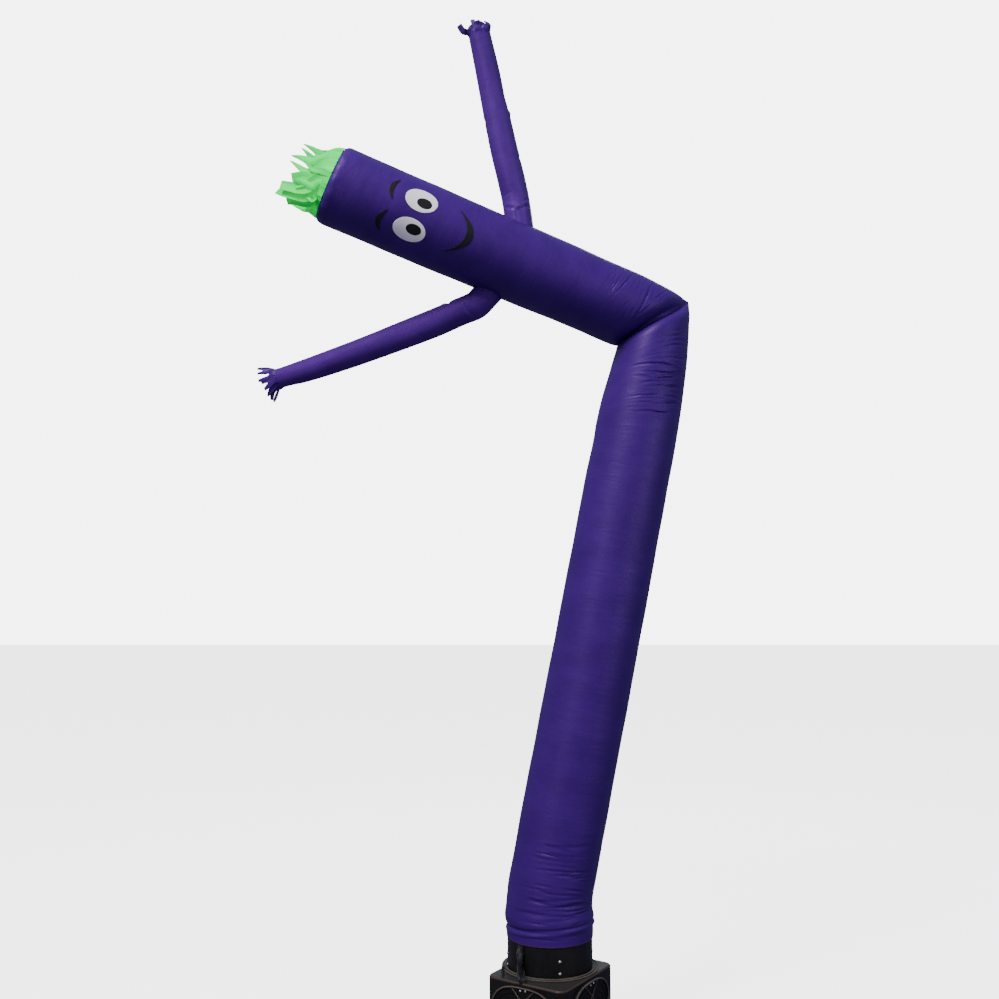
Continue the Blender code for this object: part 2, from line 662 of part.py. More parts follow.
def build_face(tube, white, black):
    """Two oval eyes with pupils, two arched brows and a wide smile, each a sewn-on piece."""
    lift, upper_lift = FACE_LIFT, FACE_LIFT + PATCH + 2 * CLEARANCE
    for side, name in ((-1, "left"), (1, "right")):
        eye = (side * EYE_APART / 2, EYE_ALONG)
        patch(f"eye_{name}", tube, oval(eye, EYE_WIDE, EYE_TALL), [eye] * 24, lift, white)
        pupil = (eye[0] - side * PUPIL_SHIFT[0], EYE_ALONG + PUPIL_SHIFT[1])
        patch(f"pupil_{name}", tube, oval(pupil, PUPIL_WIDE, PUPIL_TALL, 16), [pupil] * 16,
              upper_lift, black, rings=2)
        brow = (side * EYE_APART / 2 * 1.08, BROW_ALONG)
        strip_patch(f"brow_{name}", tube,
                    *crescent(brow, BROW_WIDE, BROW_ARCH, BROW_THICK), lift, black)
    strip_patch("smile", tube,
                *crescent((0.0, SMILE_ALONG), SMILE_WIDE, -SMILE_DROP, SMILE_THICK, 14),
                lift, black)


# ---- Strap --------------------------------------------------------------------------------
def build_strap(material):
    """The cinch strap's loose end, which hangs from the hem down on to the box's top."""
    out = Vector((math.cos(STRAP_ANGLE), math.sin(STRAP_ANGLE), 0.0))
    aside = Vector((-out.y, out.x, 0.0))
    path = [out * r + aside * shift + Vector((0.0, 0.0, z)) for r, z, shift in STRAP_PATH]
    points, faces = [], []
    for i, spot in enumerate(path):
        onward = (path[min(i + 1, len(path) - 1)] - path[max(i - 1, 0)]).normalized()
        up = aside.cross(onward).normalized()
        if up.dot(out + Vector((0.0, 0.0, 0.3))) < 0:
            up = -up
        for wide, thick in ((-1, 1), (1, 1), (1, -1), (-1, -1)):
            points.append(spot + aside * wide * STRAP_WIDE / 2 + up * thick * STRAP_THICK / 2)
    for i in range(len(path) - 1):
        for a in range(4):
            b = (a + 1) % 4
            faces += split_quad(4 * i + b, 4 * i + a, 4 * i + 4 + a, 4 * i + 4 + b)
    end = 4 * (len(path) - 1)
    faces += split_quad(0, 1, 2, 3)
    faces += split_quad(end + 3, end + 2, end + 1, end)
    return add_object("strap", points, faces, material)


# ---- Blower -------------------------------------------------------------------------------
def rounded_rectangle(length, width, corner, steps=4):
    """The outline of a rectangle with round corners, anticlockwise about its middle."""
    outline = []
    for quarter, (sx, sy) in enumerate(((1, 1), (-1, 1), (-1, -1), (1, -1))):
        for k in range(steps + 1):
            angle = math.pi / 2 * (quarter + k / steps)
            outline.append((sx * (length / 2 - corner) + corner * math.cos(angle),
                            sy * (width / 2 - corner) + corner * math.sin(angle)))
    return outline


def on_box(x, y, z):
    """A point given on the box's own axes, in the part's frame."""
    c, s = math.cos(BOX_TURN), math.sin(BOX_TURN)
    return Vector((BOX_MIDDLE[0] + x * c - y * s, BOX_MIDDLE[1] + x * s + y * c, z))


def box_slab(name, levels, material):
    """A solid with the box's outline at each level of (inset, z), flat above and below."""
    points, faces = [], []
    for inset, z in levels:
        outline = rounded_rectangle(BOX_LENGTH - 2 * inset, BOX_WIDTH - 2 * inset,
                                    BOX_CORNER - inset)
        points += [on_box(x, y, z) for x, y in outline]
    count = len(points) // len(levels)
    for level in range(len(levels) - 1):
        low, high = level * count, (level + 1) * count
        for j in range(count):
            k = (j + 1) % count
            faces += split_quad(low + j, low + k, high + k, high + j)
    faces.append(tuple(range(count - 1, -1, -1)))
    faces.append(tuple(range((len(levels) - 1) * count, len(levels) * count)))
    return add_object(name, points, faces, material)


def build_housing(steel, rubber):
    """The sheet-metal box on its rubber pad."""
    box_slab("ground_pad", ((PAD_INSET, 0.0), (PAD_INSET, GROUND_PAD)), rubber)
    box_slab("housing", ((0.0, GROUND_PAD + CLEARANCE), (0.0, BOX_TOP - BOX_BEVEL),
                         (BOX_BEVEL, BOX_TOP)), steel)


def build_collar(metal, trim):
    """The round outlet that the hem is pulled over, and the stepped flange at its foot."""
    foot = BOX_TOP + CLEARANCE
    (wide, low), (narrow, high) = FLANGE_STEPS
    hole = OUTLET_RADIUS + CLEARANCE
    turned("outlet_flange", ((hole, foot), (wide, foot), (wide, foot + low),
                             (narrow, foot + low), (narrow, foot + high), (hole, foot + high)),
           48, trim)
    turned("outlet_collar", ((OUTLET_RADIUS - OUTLET_WALL, foot), (OUTLET_RADIUS, foot),
                             (OUTLET_RADIUS, OUTLET_TOP),
                             (OUTLET_RADIUS - OUTLET_WALL, OUTLET_TOP)), 48, metal)


def build_guards(material, segments=28):
    """A dished guard with round corners over the intake in each side of the box."""
    sides = (("left", BOX_WIDTH / 2, -math.pi / 2), ("right", BOX_LENGTH / 2, 0.0),
             ("back", BOX_WIDTH / 2, math.pi / 2), ("rear", BOX_LENGTH / 2, math.pi))
    height = (GROUND_PAD + BOX_TOP) / 2
    levels = [(GUARD_HALF, 0.0), (GUARD_HALF, GUARD_RIM)]
    levels += [(GUARD_HALF * share, GUARD_RIM + (GUARD_DISH - GUARD_RIM) * (1.0 - share * share))
               for share in (0.92, 0.5)]
    outline = [
        [math.copysign(abs(f) ** (2.0 / GUARD_SQUARENESS), f)
         for f in (math.cos(angle), math.sin(angle))]
        for angle in (2 * math.pi * k / segments for k in range(segments))]
    for name, out, turn in sides:
        c, s = math.cos(turn), math.sin(turn)
        points, faces = [], []
        for half, away in levels:
            away += out + CLEARANCE
            points += [on_box(away * c - half * aside * s, away * s + half * aside * c,
                              height + half * up) for aside, up in outline]
        for low in range(0, len(points) - segments, segments):
            for k in range(segments):
                j = (k + 1) % segments
                faces += split_quad(low + k, low + j, low + segments + j, low + segments + k)
        faces.append(tuple(reversed(range(segments))))
        faces.append(tuple(range(len(points) - segments, len(points))))
        add_object(f"intake_guard_{name}", points, faces, material)


def build_peg(material):
    """The short rubber peg that stands on the box beside the outlet."""
    sides = 12
    angles = [2 * math.pi * k / sides for k in range(sides)]
    points = [Vector((PEG_RADIUS * math.cos(t), PEG_RADIUS * math.sin(t), z))
              for z in (0.0, PEG_HEIGHT) for t in angles]
    faces = [tuple(reversed(range(sides))), tuple(range(sides, 2 * sides))]
    for j in range(sides):
        k = (j + 1) % sides
        faces += split_quad(j, k, sides + k, sides + j)
    add_object("peg", points, faces, material).location = (*PEG_PLACE, BOX_TOP + CLEARANCE)


# ---- The part -----------------------------------------------------------------------------
def main():
    for old in list(bpy.data.objects):
        bpy.data.objects.remove(old)
    purple = make_material("purple_nylon", (0.044, 0.010, 0.145), 0.50)
    green = make_material("green_nylon", (0.020, 0.86, 0.13), 0.45)
    white = make_material("white_nylon", (0.86, 0.86, 0.84), 0.55)
    black = make_material("black_nylon", (0.010, 0.010, 0.011), 0.50)
    steel = make_material("painted_steel", (0.010, 0.009, 0.008), 0.42)
    trim = make_material("flange_steel", (0.035, 0.028, 0.023), 0.45, 0.2)
    webbing = make_material("webbing", (0.007, 0.007, 0.008), 0.40)
    rubber = make_material("rubber", (0.012, 0.012, 0.012), 0.80)

    tube = Tube()
    build_tube(tube, purple)
    surface = round_surface(tube)
    raised = build_sleeve("sleeve_raised", tube, surface, RAISED_SLEEVE, RAISED_COLUMN, purple)
    low = build_sleeve("sleeve_low", tube, surface, LOW_SLEEVE, LOW_COLUMN, purple)
    build_hand("hand_raised", raised, RAISED_HAND, purple)
    build_hand("hand_low", low, LOW_HAND, purple)
    build_hair(tube, green)
    build_face(tube, white, black)
    build_strap(webbing)

    build_housing(steel, rubber)
    build_collar(steel, trim)
    build_guards(steel)
    build_peg(rubber)


main()
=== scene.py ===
"""The looks of the inflatable air dancer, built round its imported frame. Metres, +Z up.

The cloth is described by places on it: how far along the tube or sleeve, and the angle round it.
"""
import math

import bpy
import numpy as np
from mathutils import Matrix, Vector
from mathutils.bvhtree import BVHTree


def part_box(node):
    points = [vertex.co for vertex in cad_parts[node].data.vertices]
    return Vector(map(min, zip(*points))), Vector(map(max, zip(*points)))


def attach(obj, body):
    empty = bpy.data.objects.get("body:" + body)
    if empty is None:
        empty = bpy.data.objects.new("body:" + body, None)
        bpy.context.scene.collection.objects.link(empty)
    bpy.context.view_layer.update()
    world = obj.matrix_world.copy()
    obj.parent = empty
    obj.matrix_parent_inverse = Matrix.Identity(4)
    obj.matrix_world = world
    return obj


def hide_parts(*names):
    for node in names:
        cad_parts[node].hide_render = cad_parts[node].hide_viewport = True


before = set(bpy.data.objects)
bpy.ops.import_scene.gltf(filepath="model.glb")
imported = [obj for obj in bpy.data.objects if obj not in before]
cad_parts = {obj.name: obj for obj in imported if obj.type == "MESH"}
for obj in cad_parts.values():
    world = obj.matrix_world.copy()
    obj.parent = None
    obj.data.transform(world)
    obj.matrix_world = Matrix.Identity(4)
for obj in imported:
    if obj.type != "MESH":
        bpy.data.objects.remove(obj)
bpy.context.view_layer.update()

# ---- The frame's own sizes ----------------------------------------------------------------
COLLAR_LOW, COLLAR_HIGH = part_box("outlet_collar")
OUTLET_RADIUS = (COLLAR_HIGH.x - COLLAR_LOW.x) / 2
BOX_FOOT, BOX_TOP = (corner.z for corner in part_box("housing"))

CLOTH = 0.0010            # thickness given to the nylon
TUBE_GIRTH = 1.445        # the tube's cloth laid flat, from side to side
BOX_LENGTH, BOX_WIDTH = 0.462, 0.535
BOX_TURN = math.radians(-33.5)
BOX_MIDDLE = (0.002, -0.050)
GUARD_HALF, GUARD_SQUARENESS = 0.198, 3.0

# ---- The tube's sections ------------------------------------------------------------------
LEAN = 12.2               # degrees that the upper tube leans towards the camera
LOWER_TUBE = (
    # x,      z,      roll, width,  depth
    (0.0000, 0.6000, 0.0, 0.2292, 0.2292),
    (0.0000, 0.6340, 0.0, 0.2300, 0.2300),
    (0.0000, 0.6640, 0.0, 0.2293, 0.2293),
    (-0.0010, 0.6820, 0.0, 0.2350, 0.2350),
    (-0.0030, 0.7070, -1.0, 0.2370, 0.2362),
    (-0.0030, 0.7550, -4.0, 0.2310, 0.2320),
    (0.0000, 0.8100, -9.0, 0.2290, 0.2300),
    (0.0250, 0.9500, -11.3, 0.2295, 0.2300),
    (0.1540, 1.6000, -11.3, 0.2300, 0.2310),
    (0.3130, 2.4000, -11.3, 0.2300, 0.2310),
    (0.4420, 3.0500, -11.3, 0.2290, 0.2320),
    (0.4850, 3.2500, -7.0, 0.2285, 0.2325),
    (0.5075, 3.3800, 0.0, 0.2310, 0.2325),
    (0.5350, 3.5280, 6.8, 0.2305, 0.2325),
    (0.5570, 3.6420, 12.0, 0.2290, 0.2335),
    (0.5745, 3.7450, 16.7, 0.2265, 0.2345),
    (0.5870, 3.8250, 21.5, 0.2265, 0.2330),
    (0.5950, 3.8820, 26.0, 0.2305, 0.2200),
)
ELBOW = (0.5950, 3.9190, 31.8, 0.2400, 0.1900)
ELBOW_PINCH, ELBOW_PINCH_REACH = 0.30, 0.045
UPPER_TUBE = (
    # x,      y,       z,      roll, lean, width,  depth
    (0.5710, -0.0060, 3.9310, 33.5, 2.0, 0.2375, 0.2250),
    (0.5280, -0.0160, 3.9520, 37.4, 4.0, 0.2305, 0.2420),
    (0.4650, -0.0300, 3.9800, 42.5, 6.0, 0.2245, 0.2450),
    (0.3820, -0.0490, 4.0150, 47.8, 9.0, 0.2200, 0.2440),
    (0.2780, -0.0720, 4.0540, 52.9, 11.0, 0.2145, 0.2420),
    (0.1480, -0.1010, 4.1020, 58.8, LEAN, 0.2105, 0.2390),
    (0.0040, -0.1340, 4.1540, 65.5, LEAN, 0.2095, 0.2360),
    (-0.1870, -0.1770, 4.2220, 67.6, LEAN, 0.2100, 0.2330),
    (-0.5130, -0.2530, 4.3390, 67.8, LEAN, 0.2115, 0.2290),
    (-0.8550, -0.3330, 4.4610, 67.3, LEAN, 0.2125, 0.2250),
    (-1.1290, -0.3975, 4.5605, 67.0, LEAN, 0.2125, 0.2215),
)
HEAD_END = ((0.0, 1.0), (0.018, 0.985), (0.032, 0.945), (0.042, 0.880), (0.050, 0.740),
            (0.055, 0.560), (0.057, 0.380))
HEAD_RINGS = 22           # rings over the rounded head end
# How much the seam of the head gathers its cloth, how often round, and how far along.
HEAD_GATHER, HEAD_GATHERS, HEAD_GATHER_RUN = 0.010, 17, 0.06

# The tube has a ring every so far from each of these places on.
RING_ZONES = (
    # along,  spacing
    (-3.376, 0.0037),
    (-2.960, 0.0062),
    (-2.820, 0.0260),
    (-0.600, 0.0046),
    (-0.060, 0.0026),
    (0.062, 0.0050),
    (0.400, 0.0200),
    (0.800, 0.0085),
    (1.060, 0.0220),
    (1.845, 0.0080),
)
TUBE_ROUND = 80           # points round the tube

# The sharp groove of the elbow, which the upper tube hangs over.
GROOVE_DEPTH, GROOVE_AT_INNER, GROOVE_INNER_REACH = 0.036, 0.003, 0.16
GROOVE_ABOVE, GROOVE_BELOW = 0.026, 0.012     # how far it reaches on either side
GROOVE_SAG = 0.024        # how far its middle runs below the straight fold

# The soft ridge beside a crease: its share of the depth, and in half widths its place and reach.
RIDGE_SHARE, RIDGE_AT, RIDGE_REACH = 0.34, 1.9, 1.1
# Creases placed one by one. Each is a trough with a soft ridge beside it: where its middle is
# along the tube and round it, half its span round the tube in degrees, its depth, half its
# width, how far it slants from end to end and how far its middle bows along the tube.
CREASES = (
    # along,  angle, span, depth,  width,  slant,  bow
    (-0.298, 282.0, 44.0, 0.0062, 0.0052, -0.040, 0.010),
    (-0.330, 291.0, 32.0, 0.0050, 0.0046, -0.020, -0.010),
    (-0.348, 305.0, 20.0, 0.0044, 0.0041, 0.010, 0.008),
    (-0.264, 302.0, 34.0, 0.0032, 0.0041, -0.015, 0.000),
    (-0.236, 291.0, 26.0, 0.0028, 0.0037, -0.012, 0.000),
    (-0.198, 306.0, 20.0, 0.0024, 0.0034, -0.008, 0.000),
    (-0.176, 308.0, 21.0, 0.0024, 0.0034, -0.008, 0.000),
    (-0.150, 306.0, 20.0, 0.0026, 0.0034, -0.010, 0.000),
    (-0.128, 309.0, 20.0, 0.0022, 0.0034, -0.014, 0.000),
    (-0.352, 264.0, 18.0, 0.0040, 0.0044, -0.030, 0.004),
    (-0.376, 271.0, 12.0, 0.0032, 0.0041, 0.000, 0.000),
    (-0.415, 305.0, 18.0, 0.0024, 0.0041, 0.000, 0.000),
    (-0.454, 264.0, 20.0, 0.0026, 0.0041, -0.004, 0.000),
    (-0.478, 286.0, 34.0, 0.0026, 0.0042, -0.010, 0.004),
    (-0.499, 298.0, 20.0, 0.0024, 0.0041, 0.006, 0.000),
    (-0.545, 296.0, 24.0, 0.0018, 0.0041, 0.004, 0.000),
    (0.128, 277.0, 38.0, 0.0074, 0.0058, 0.055, 0.008),
    (0.152, 268.0, 28.0, 0.0030, 0.0044, 0.040, 0.004),
    (0.162, 245.0, 10.0, 0.0030, 0.0045, 0.015, 0.000),
    (0.337, 282.0, 20.0, 0.0042, 0.0042, 0.000, 0.000),
    (0.300, 292.0, 36.0, 0.0046, 0.0042, -0.010, 0.000),
    (0.347, 288.0, 16.0, 0.0034, 0.0038, -0.010, 0.000),
    (0.366, 296.0, 24.0, 0.0030, 0.0041, 0.020, 0.000),
    (0.232, 302.0, 20.0, 0.0030, 0.0041, 0.020, 0.000),
    (0.057, 300.0, 9.0, 0.0034, 0.0041, 0.030, 0.000),
    (0.027, 260.0, 9.0, 0.0024, 0.0041, 0.010, 0.000),
    (-3.163, 305.0, 26.0, 0.0056, 0.0075, 0.005, 0.012),
    (-3.183, 308.0, 22.0, 0.0042, 0.0055, 0.010, 0.000),
    (-3.143, 318.0, 26.0, 0.0032, 0.0048, 0.000, 0.000),
    (-3.200, 335.0, 34.0, 0.0056, 0.0082, 0.010, 0.000),
    (-3.263, 253.0, 10.0, 0.0028, 0.0041, 0.000, 0.003),
    (-3.263, 306.0, 10.0, 0.0032, 0.0045, 0.010, 0.000),
    (-3.338, 262.0, 26.0, 0.0022, 0.0036, -0.005, 0.000),
    (-2.995, 284.0, 50.0, 0.0030, 0.0064, 0.020, 0.008),
    (-3.003, 300.0, 36.0, 0.0024, 0.0054, 0.005, -0.008),
    (-2.943, 262.0, 28.0, 0.0022, 0.0058, 0.010, 0.000),
    (-2.868, 271.0, 38.0, 0.0022, 0.0070, 0.025, 0.000),
    (-3.078, 257.0, 14.0, 0.0022, 0.0048, 0.005, 0.000),
    (-3.175, 100.0, 50.0, 0.0048, 0.0075, 0.012, 0.004),
    (-3.235, 60.0, 30.0, 0.0036, 0.0054, -0.010, 0.000),
    (-3.215, 150.0, 28.0, 0.0036, 0.0054, 0.008, 0.000),
    (-0.180, 62.0, 46.0, 0.0056, 0.0058, 0.030, 0.006),
    (-0.285, 70.0, 40.0, 0.0060, 0.0058, 0.030, 0.006),
    (-0.360, 84.0, 30.0, 0.0040, 0.0048, -0.010, 0.000),
    (-0.440, 62.0, 34.0, 0.0032, 0.0048, 0.008, 0.000),
    (0.140, 88.0, 40.0, 0.0064, 0.0061, -0.070, 0.004),
    (0.235, 76.0, 30.0, 0.0044, 0.0054, -0.060, 0.000),
    (0.325, 84.0, 34.0, 0.0040, 0.0054, -0.070, 0.000),
)

# Fine creases scattered between the main ones.
SCATTERS = (
    # from,   to,     middle, reach, count, span, depth,  width,  slant
    (-0.560, -0.110, 302.0, 28.0, 46, 17.0, 0.0030, 0.0038, -0.006),
    (-0.620, -0.130, 62.0, 34.0, 30, 18.0, 0.0024, 0.0045, 0.006),
    (0.030, 0.420, 292.0, 24.0, 20, 16.0, 0.0028, 0.0042, 0.024),
    (0.030, 0.420, 72.0, 28.0, 20, 16.0, 0.0022, 0.0046, -0.045),
    (-3.270, -2.880, 284.0, 44.0, 40, 20.0, 0.0024, 0.0048, 0.010),
    (-3.270, -2.950, 100.0, 80.0, 30, 24.0, 0.0022, 0.0060, 0.008),
    (-2.900, -0.700, 280.0, 80.0, 18, 20.0, 0.0010, 0.0100, 0.010),
    (0.500, 1.780, 250.0, 90.0, 14, 16.0, 0.0009, 0.0100, 0.014),
)
SCATTER_SEED = 11

# The hem: a cuff turned up and drawn in, with a soft roll above it.
CUFF_TOP = -3.308
CUFF_ROLL, CUFF_ROLL_AT, CUFF_ROLL_REACH = 0.0048, -0.011, 0.010
CUFF_TUCK, CUFF_TUCK_AT, CUFF_TUCK_REACH = 0.0046, 0.012, 0.009
CUFF_TILT, CUFF_LEVEL_AT = 0.0165, 258.0      # how far its top edge tilts, about this angle
HEM_EDGE = 0.0045         # the bound edge below the cuff
RIM_BAND = 0.040          # the hem of the head, beside the hair


# ---- Arrays and meshes --------------------------------------------------------------------
def smooth_curve(knots, values, at):
    """A smooth curve through the values that never overshoots them, read at many places."""
    knots, values = np.asarray(knots, float), np.asarray(values, float)
    steps = np.diff(values) / np.diff(knots)
    product = steps[:-1] * steps[1:]
    total = np.where(product > 0, steps[:-1] + steps[1:], 1.0)
    inner = np.where(product > 0, 2 * product / total, 0.0)
    rates = np.concatenate([steps[:1], inner, steps[-1:]])
    at = np.clip(np.asarray(at, float), knots[0], knots[-1])
    k = np.clip(np.searchsorted(knots, at, side="right") - 1, 0, len(knots) - 2)
    span = knots[k + 1] - knots[k]
    t = (at - knots[k]) / span
    return (values[k] * (1 + 2 * t) * (1 - t) ** 2 + values[k + 1] * t * t * (3 - 2 * t)
            + span * (rates[k] * t * (1 - t) ** 2 + rates[k + 1] * t * t * (t - 1)))


def unit(vectors):
    """The vectors at length one."""
    length = np.linalg.norm(vectors, axis=-1, keepdims=True)
    return vectors / np.maximum(length, 1e-12)


def run_along(points):
    """How far along a line each of its points is."""
    return np.concatenate([[0.0], np.cumsum(np.linalg.norm(np.diff(points, axis=0), axis=1))])


def full_turn(count):
    """Evenly spaced angles all the way round, in radians."""
    return 2 * math.pi * np.arange(count) / count


def cos_sin(degrees):
    """The cosine and sine of an angle in degrees."""
    return math.cos(math.radians(degrees)), math.sin(math.radians(degrees))


def spun(sides, way, spin):
    """A strip's width directions, turned about the way it runs."""
    return sides * np.cos(spin) + np.cross(way, sides) * np.sin(spin)


def turn_of(angle, middle):
    """How far round an angle lies from a middle one, in degrees from -180 to 180."""
    return (angle - middle + 180.0) % 360.0 - 180.0


def mesh_object(name, points, faces, material, uvs=None, sharp=40.0):
    """A smooth-shaded mesh object, with the cloth's own flat measures as its UVs, in metres."""
    mesh = bpy.data.meshes.new(name)
    mesh.from_pydata(np.asarray(points, float).tolist(), [], [list(map(int, f)) for f in faces])
    if uvs is not None:
        layer = mesh.uv_layers.new(name="cloth")
        layer.data.foreach_set("uv", np.asarray(uvs, np.float32).ravel())
    mesh.shade_smooth()
    mesh.set_sharp_from_angle(angle=math.radians(sharp))
    mesh.materials.append(material)
    made = bpy.data.objects.new(name, mesh)
    bpy.context.scene.collection.objects.link(made)
    return made


def grid_normals(grid):
    """The outward direction at each point of a grid of closed rings."""
    round_way = np.roll(grid, -1, 1) - np.roll(grid, 1, 1)
    along_way = np.gradient(grid, axis=0)
    return unit(np.cross(round_way, along_way))


def shell(name, grid, thickness, material, flat_wide, flat_along, holes=None):
    """A closed wall of cloth on the inner side of a grid of rings, open at both of its ends.

    flat_wide is the cloth's flat width, flat_along each ring's place along it, and holes a
    mask of the grid's cells that are cut out.
    """
    rings, count = grid.shape[:2]
    inner = grid - grid_normals(grid) * thickness
    points = np.concatenate([grid.reshape(-1, 3), inner.reshape(-1, 3)])
    layer = rings * count
    kept = np.ones((rings - 1, count), bool) if holes is None else ~holes
    row, column = np.nonzero(kept)
    faces, uvs = [], []

    def add(corners, under):
        """Faces through corners of (row, column), each with its layer."""
        faces.append(np.stack(
            [u * layer + r * count + c % count for (r, c), u in zip(corners, under)], -1))
        uvs.append(np.stack(
            [np.stack([c / count * flat_wide, flat_along[r]], -1) for r, c in corners], 1))

    ring = [(row, column), (row, column + 1), (row + 1, column + 1), (row + 1, column)]
    add(ring, (0, 0, 0, 0))
    add(ring[::-1], (1, 1, 1, 1))
    padded = np.zeros((rings + 1, count), bool)
    padded[1:-1] = kept
    for (dr, dc), (a, b) in {(-1, 0): (1, 0), (1, 0): (3, 2), (0, -1): (0, 3),
                             (0, 1): (2, 1)}.items():
        neighbour = np.roll(padded, (-dr, -dc), (0, 1))[1:-1]
        r, c = np.nonzero(kept & ~neighbour)
        corners = [(r, c), (r, c + 1), (r + 1, c + 1), (r + 1, c)]
        add([corners[a], corners[b], corners[b], corners[a]], (0, 0, 1, 1))
    faces, uvs = np.concatenate(faces), np.concatenate(uvs)
    used, place = np.unique(faces, return_inverse=True)
    return mesh_object(name, points[used], place.reshape(faces.shape), material, uvs)


STRIP_ACROSS = 4          # points across each face of a strip


class Strips:
    """Flat strips of cloth that are gathered into one mesh."""

    def __init__(self):
        self.points, self.faces, self.uvs, self.count, self.area = [], [], [], 0, 0.0

    def add(self, path, sides, widths, thickness=CLOTH, cup=0.0):
        """One more strip along a path.

        sides are its width directions, and cup bows its middle out of its plane.
        """
        path, sides = np.asarray(path, float), unit(np.asarray(sides, float))
        widths, bow = (np.broadcast_to(np.asarray(v, float), (len(path),)) for v in (widths, cup))
        up = unit(np.cross(sides, unit(np.gradient(path, axis=0))))
        share = np.linspace(-1.0, 1.0, STRIP_ACROSS)
        mid = (path[:, None] + sides[:, None] * (widths[:, None, None] / 2 * share[None, :, None])
               + up[:, None] * (bow[:, None] * (1.0 - share[None, :] ** 2))[..., None])
        top = mid + up[:, None] * thickness / 2
        low = mid - up[:, None] * thickness / 2
        rows, around = len(path), 2 * STRIP_ACROSS
        start = sum(len(p) for p in self.points)
        self.points.append(np.concatenate([top, low[:, ::-1]], 1).reshape(-1, 3))
        length = run_along(path)
        u, u0 = np.concatenate([share, share[::-1]]), 0.05 * self.count

        def face(*corners):
            """A face through corners of (row, place round the strip)."""
            self.faces.append([start + r * around + c for r, c in corners])
            self.uvs.extend((u0 + u[c] * widths[r] / 2, length[r]) for r, c in corners)

        for i in range(rows - 1):
            for j in range(around):
                k = (j + 1) % around
                face((i, j), (i, k), (i + 1, k), (i + 1, j))
        for r, order, step in ((0, range(STRIP_ACROSS - 1, 0, -1), -1),
                               (rows - 1, range(STRIP_ACROSS - 1), 1)):
            for j in order:
                face((r, j), (r, j + step), (r, around - 1 - (j + step)), (r, around - 1 - j))
        steps = np.linalg.norm(np.diff(path, axis=0), axis=1)
        self.area += float(np.sum(steps * (widths[1:] + widths[:-1]) / 2))
        self.count += 1

    def make(self, name, material):
        return mesh_object(name, np.concatenate(self.points), self.faces, material, self.uvs)


# ---- Materials ----------------------------------------------------------------------------
def tune(node, **values):
    """Sets a node's inputs, whose names are written here with _ for each space."""
    for name, value in values.items():
        node.inputs[name.replace("_", " ")].default_value = value
    return node


class Finish:
    """A node-based material being built up from a Principled shader."""

    def __init__(self, name, colour, roughness, metallic=0.0):
        self.material = bpy.data.materials.new(name)
        self.material.use_nodes = True
        self.tree = self.material.node_tree
        self.shader = tune(self.tree.nodes["Principled BSDF"], Base_Color=(*colour, 1.0),
                           Roughness=roughness, Metallic=metallic)
        self.coords = self.node("TexCoord")
        self.bumped = None

    def node(self, kind, **values):
        return tune(self.tree.nodes.new(f"ShaderNode{kind}"), **values)

    def link(self, source, target):
        self.tree.links.new(source, target)

    def space(self, kind="Object", scale=(1.0, 1.0, 1.0)):
        """Coordinates in metres, the object's own or the cloth's UVs, stretched."""
        mapping = self.node("Mapping", Scale=scale)
        self.link(self.coords.outputs[kind], mapping.inputs["Vector"])
        return mapping.outputs["Vector"]

    def noise(self, space, scale, detail=3.0, rough=0.5, warp=0.0):
        node = self.node("TexNoise", Scale=scale, Detail=detail, Roughness=rough,
                         Distortion=warp)
        self.link(space, node.inputs["Vector"])
        return node.outputs["Fac"]

    def wave(self, space, scale, direction="X", warp=0.0):
        node = self.node("TexWave", Scale=scale, Distortion=warp)
        node.bands_direction = direction
        self.link(space, node.inputs["Vector"])
        return node.outputs["Fac"]

    def ramp(self, factor, *stops):
        """A colour ramp through stops of (place, colour or grey)."""
        node = self.node("ValToRGB")
        elements = node.color_ramp.elements
        while len(elements) < len(stops):
            elements.new(0.5)
        for element, (place, value) in zip(elements, stops):
            element.position = place
            colour = (value,) * 3 if isinstance(value, float) else value
            element.color = (*colour, 1.0)
        self.link(factor, node.inputs["Fac"])
        return node.outputs["Color"]

    def band(self, colour, low, high, other, kind="UV", axis="Y"):
        """Another colour between two places along the cloth or up the object, in metres."""
        split = self.node("SeparateXYZ")
        self.link(self.coords.outputs[kind], split.inputs["Vector"])
        inside = self.node("Math")
        inside.operation = "COMPARE"
        self.link(split.outputs[axis], inside.inputs[0])
        inside.inputs[1].default_value = (low + high) / 2
        inside.inputs[2].default_value = (high - low) / 2
        mix = self.node("Mix")
        mix.data_type = "RGBA"
        self.link(inside.outputs["Value"], mix.inputs[0])
        self.link(colour, mix.inputs[6])
        mix.inputs[7].default_value = (*other, 1.0)
        return mix.outputs[2]

    def colour(self, output):
        self.link(output, self.shader.inputs["Base Color"])

    def roughness(self, output):
        self.link(output, self.shader.inputs["Roughness"])

    def bump(self, height, strength, distance):
        """One more layer of relief over those so far."""
        node = self.node("Bump", Strength=strength, Distance=distance)
        self.link(height, node.inputs["Height"])
        if self.bumped is not None:
            self.link(self.bumped, node.inputs["Normal"])
        self.bumped = node.outputs["Normal"]
        self.link(self.bumped, self.shader.inputs["Normal"])


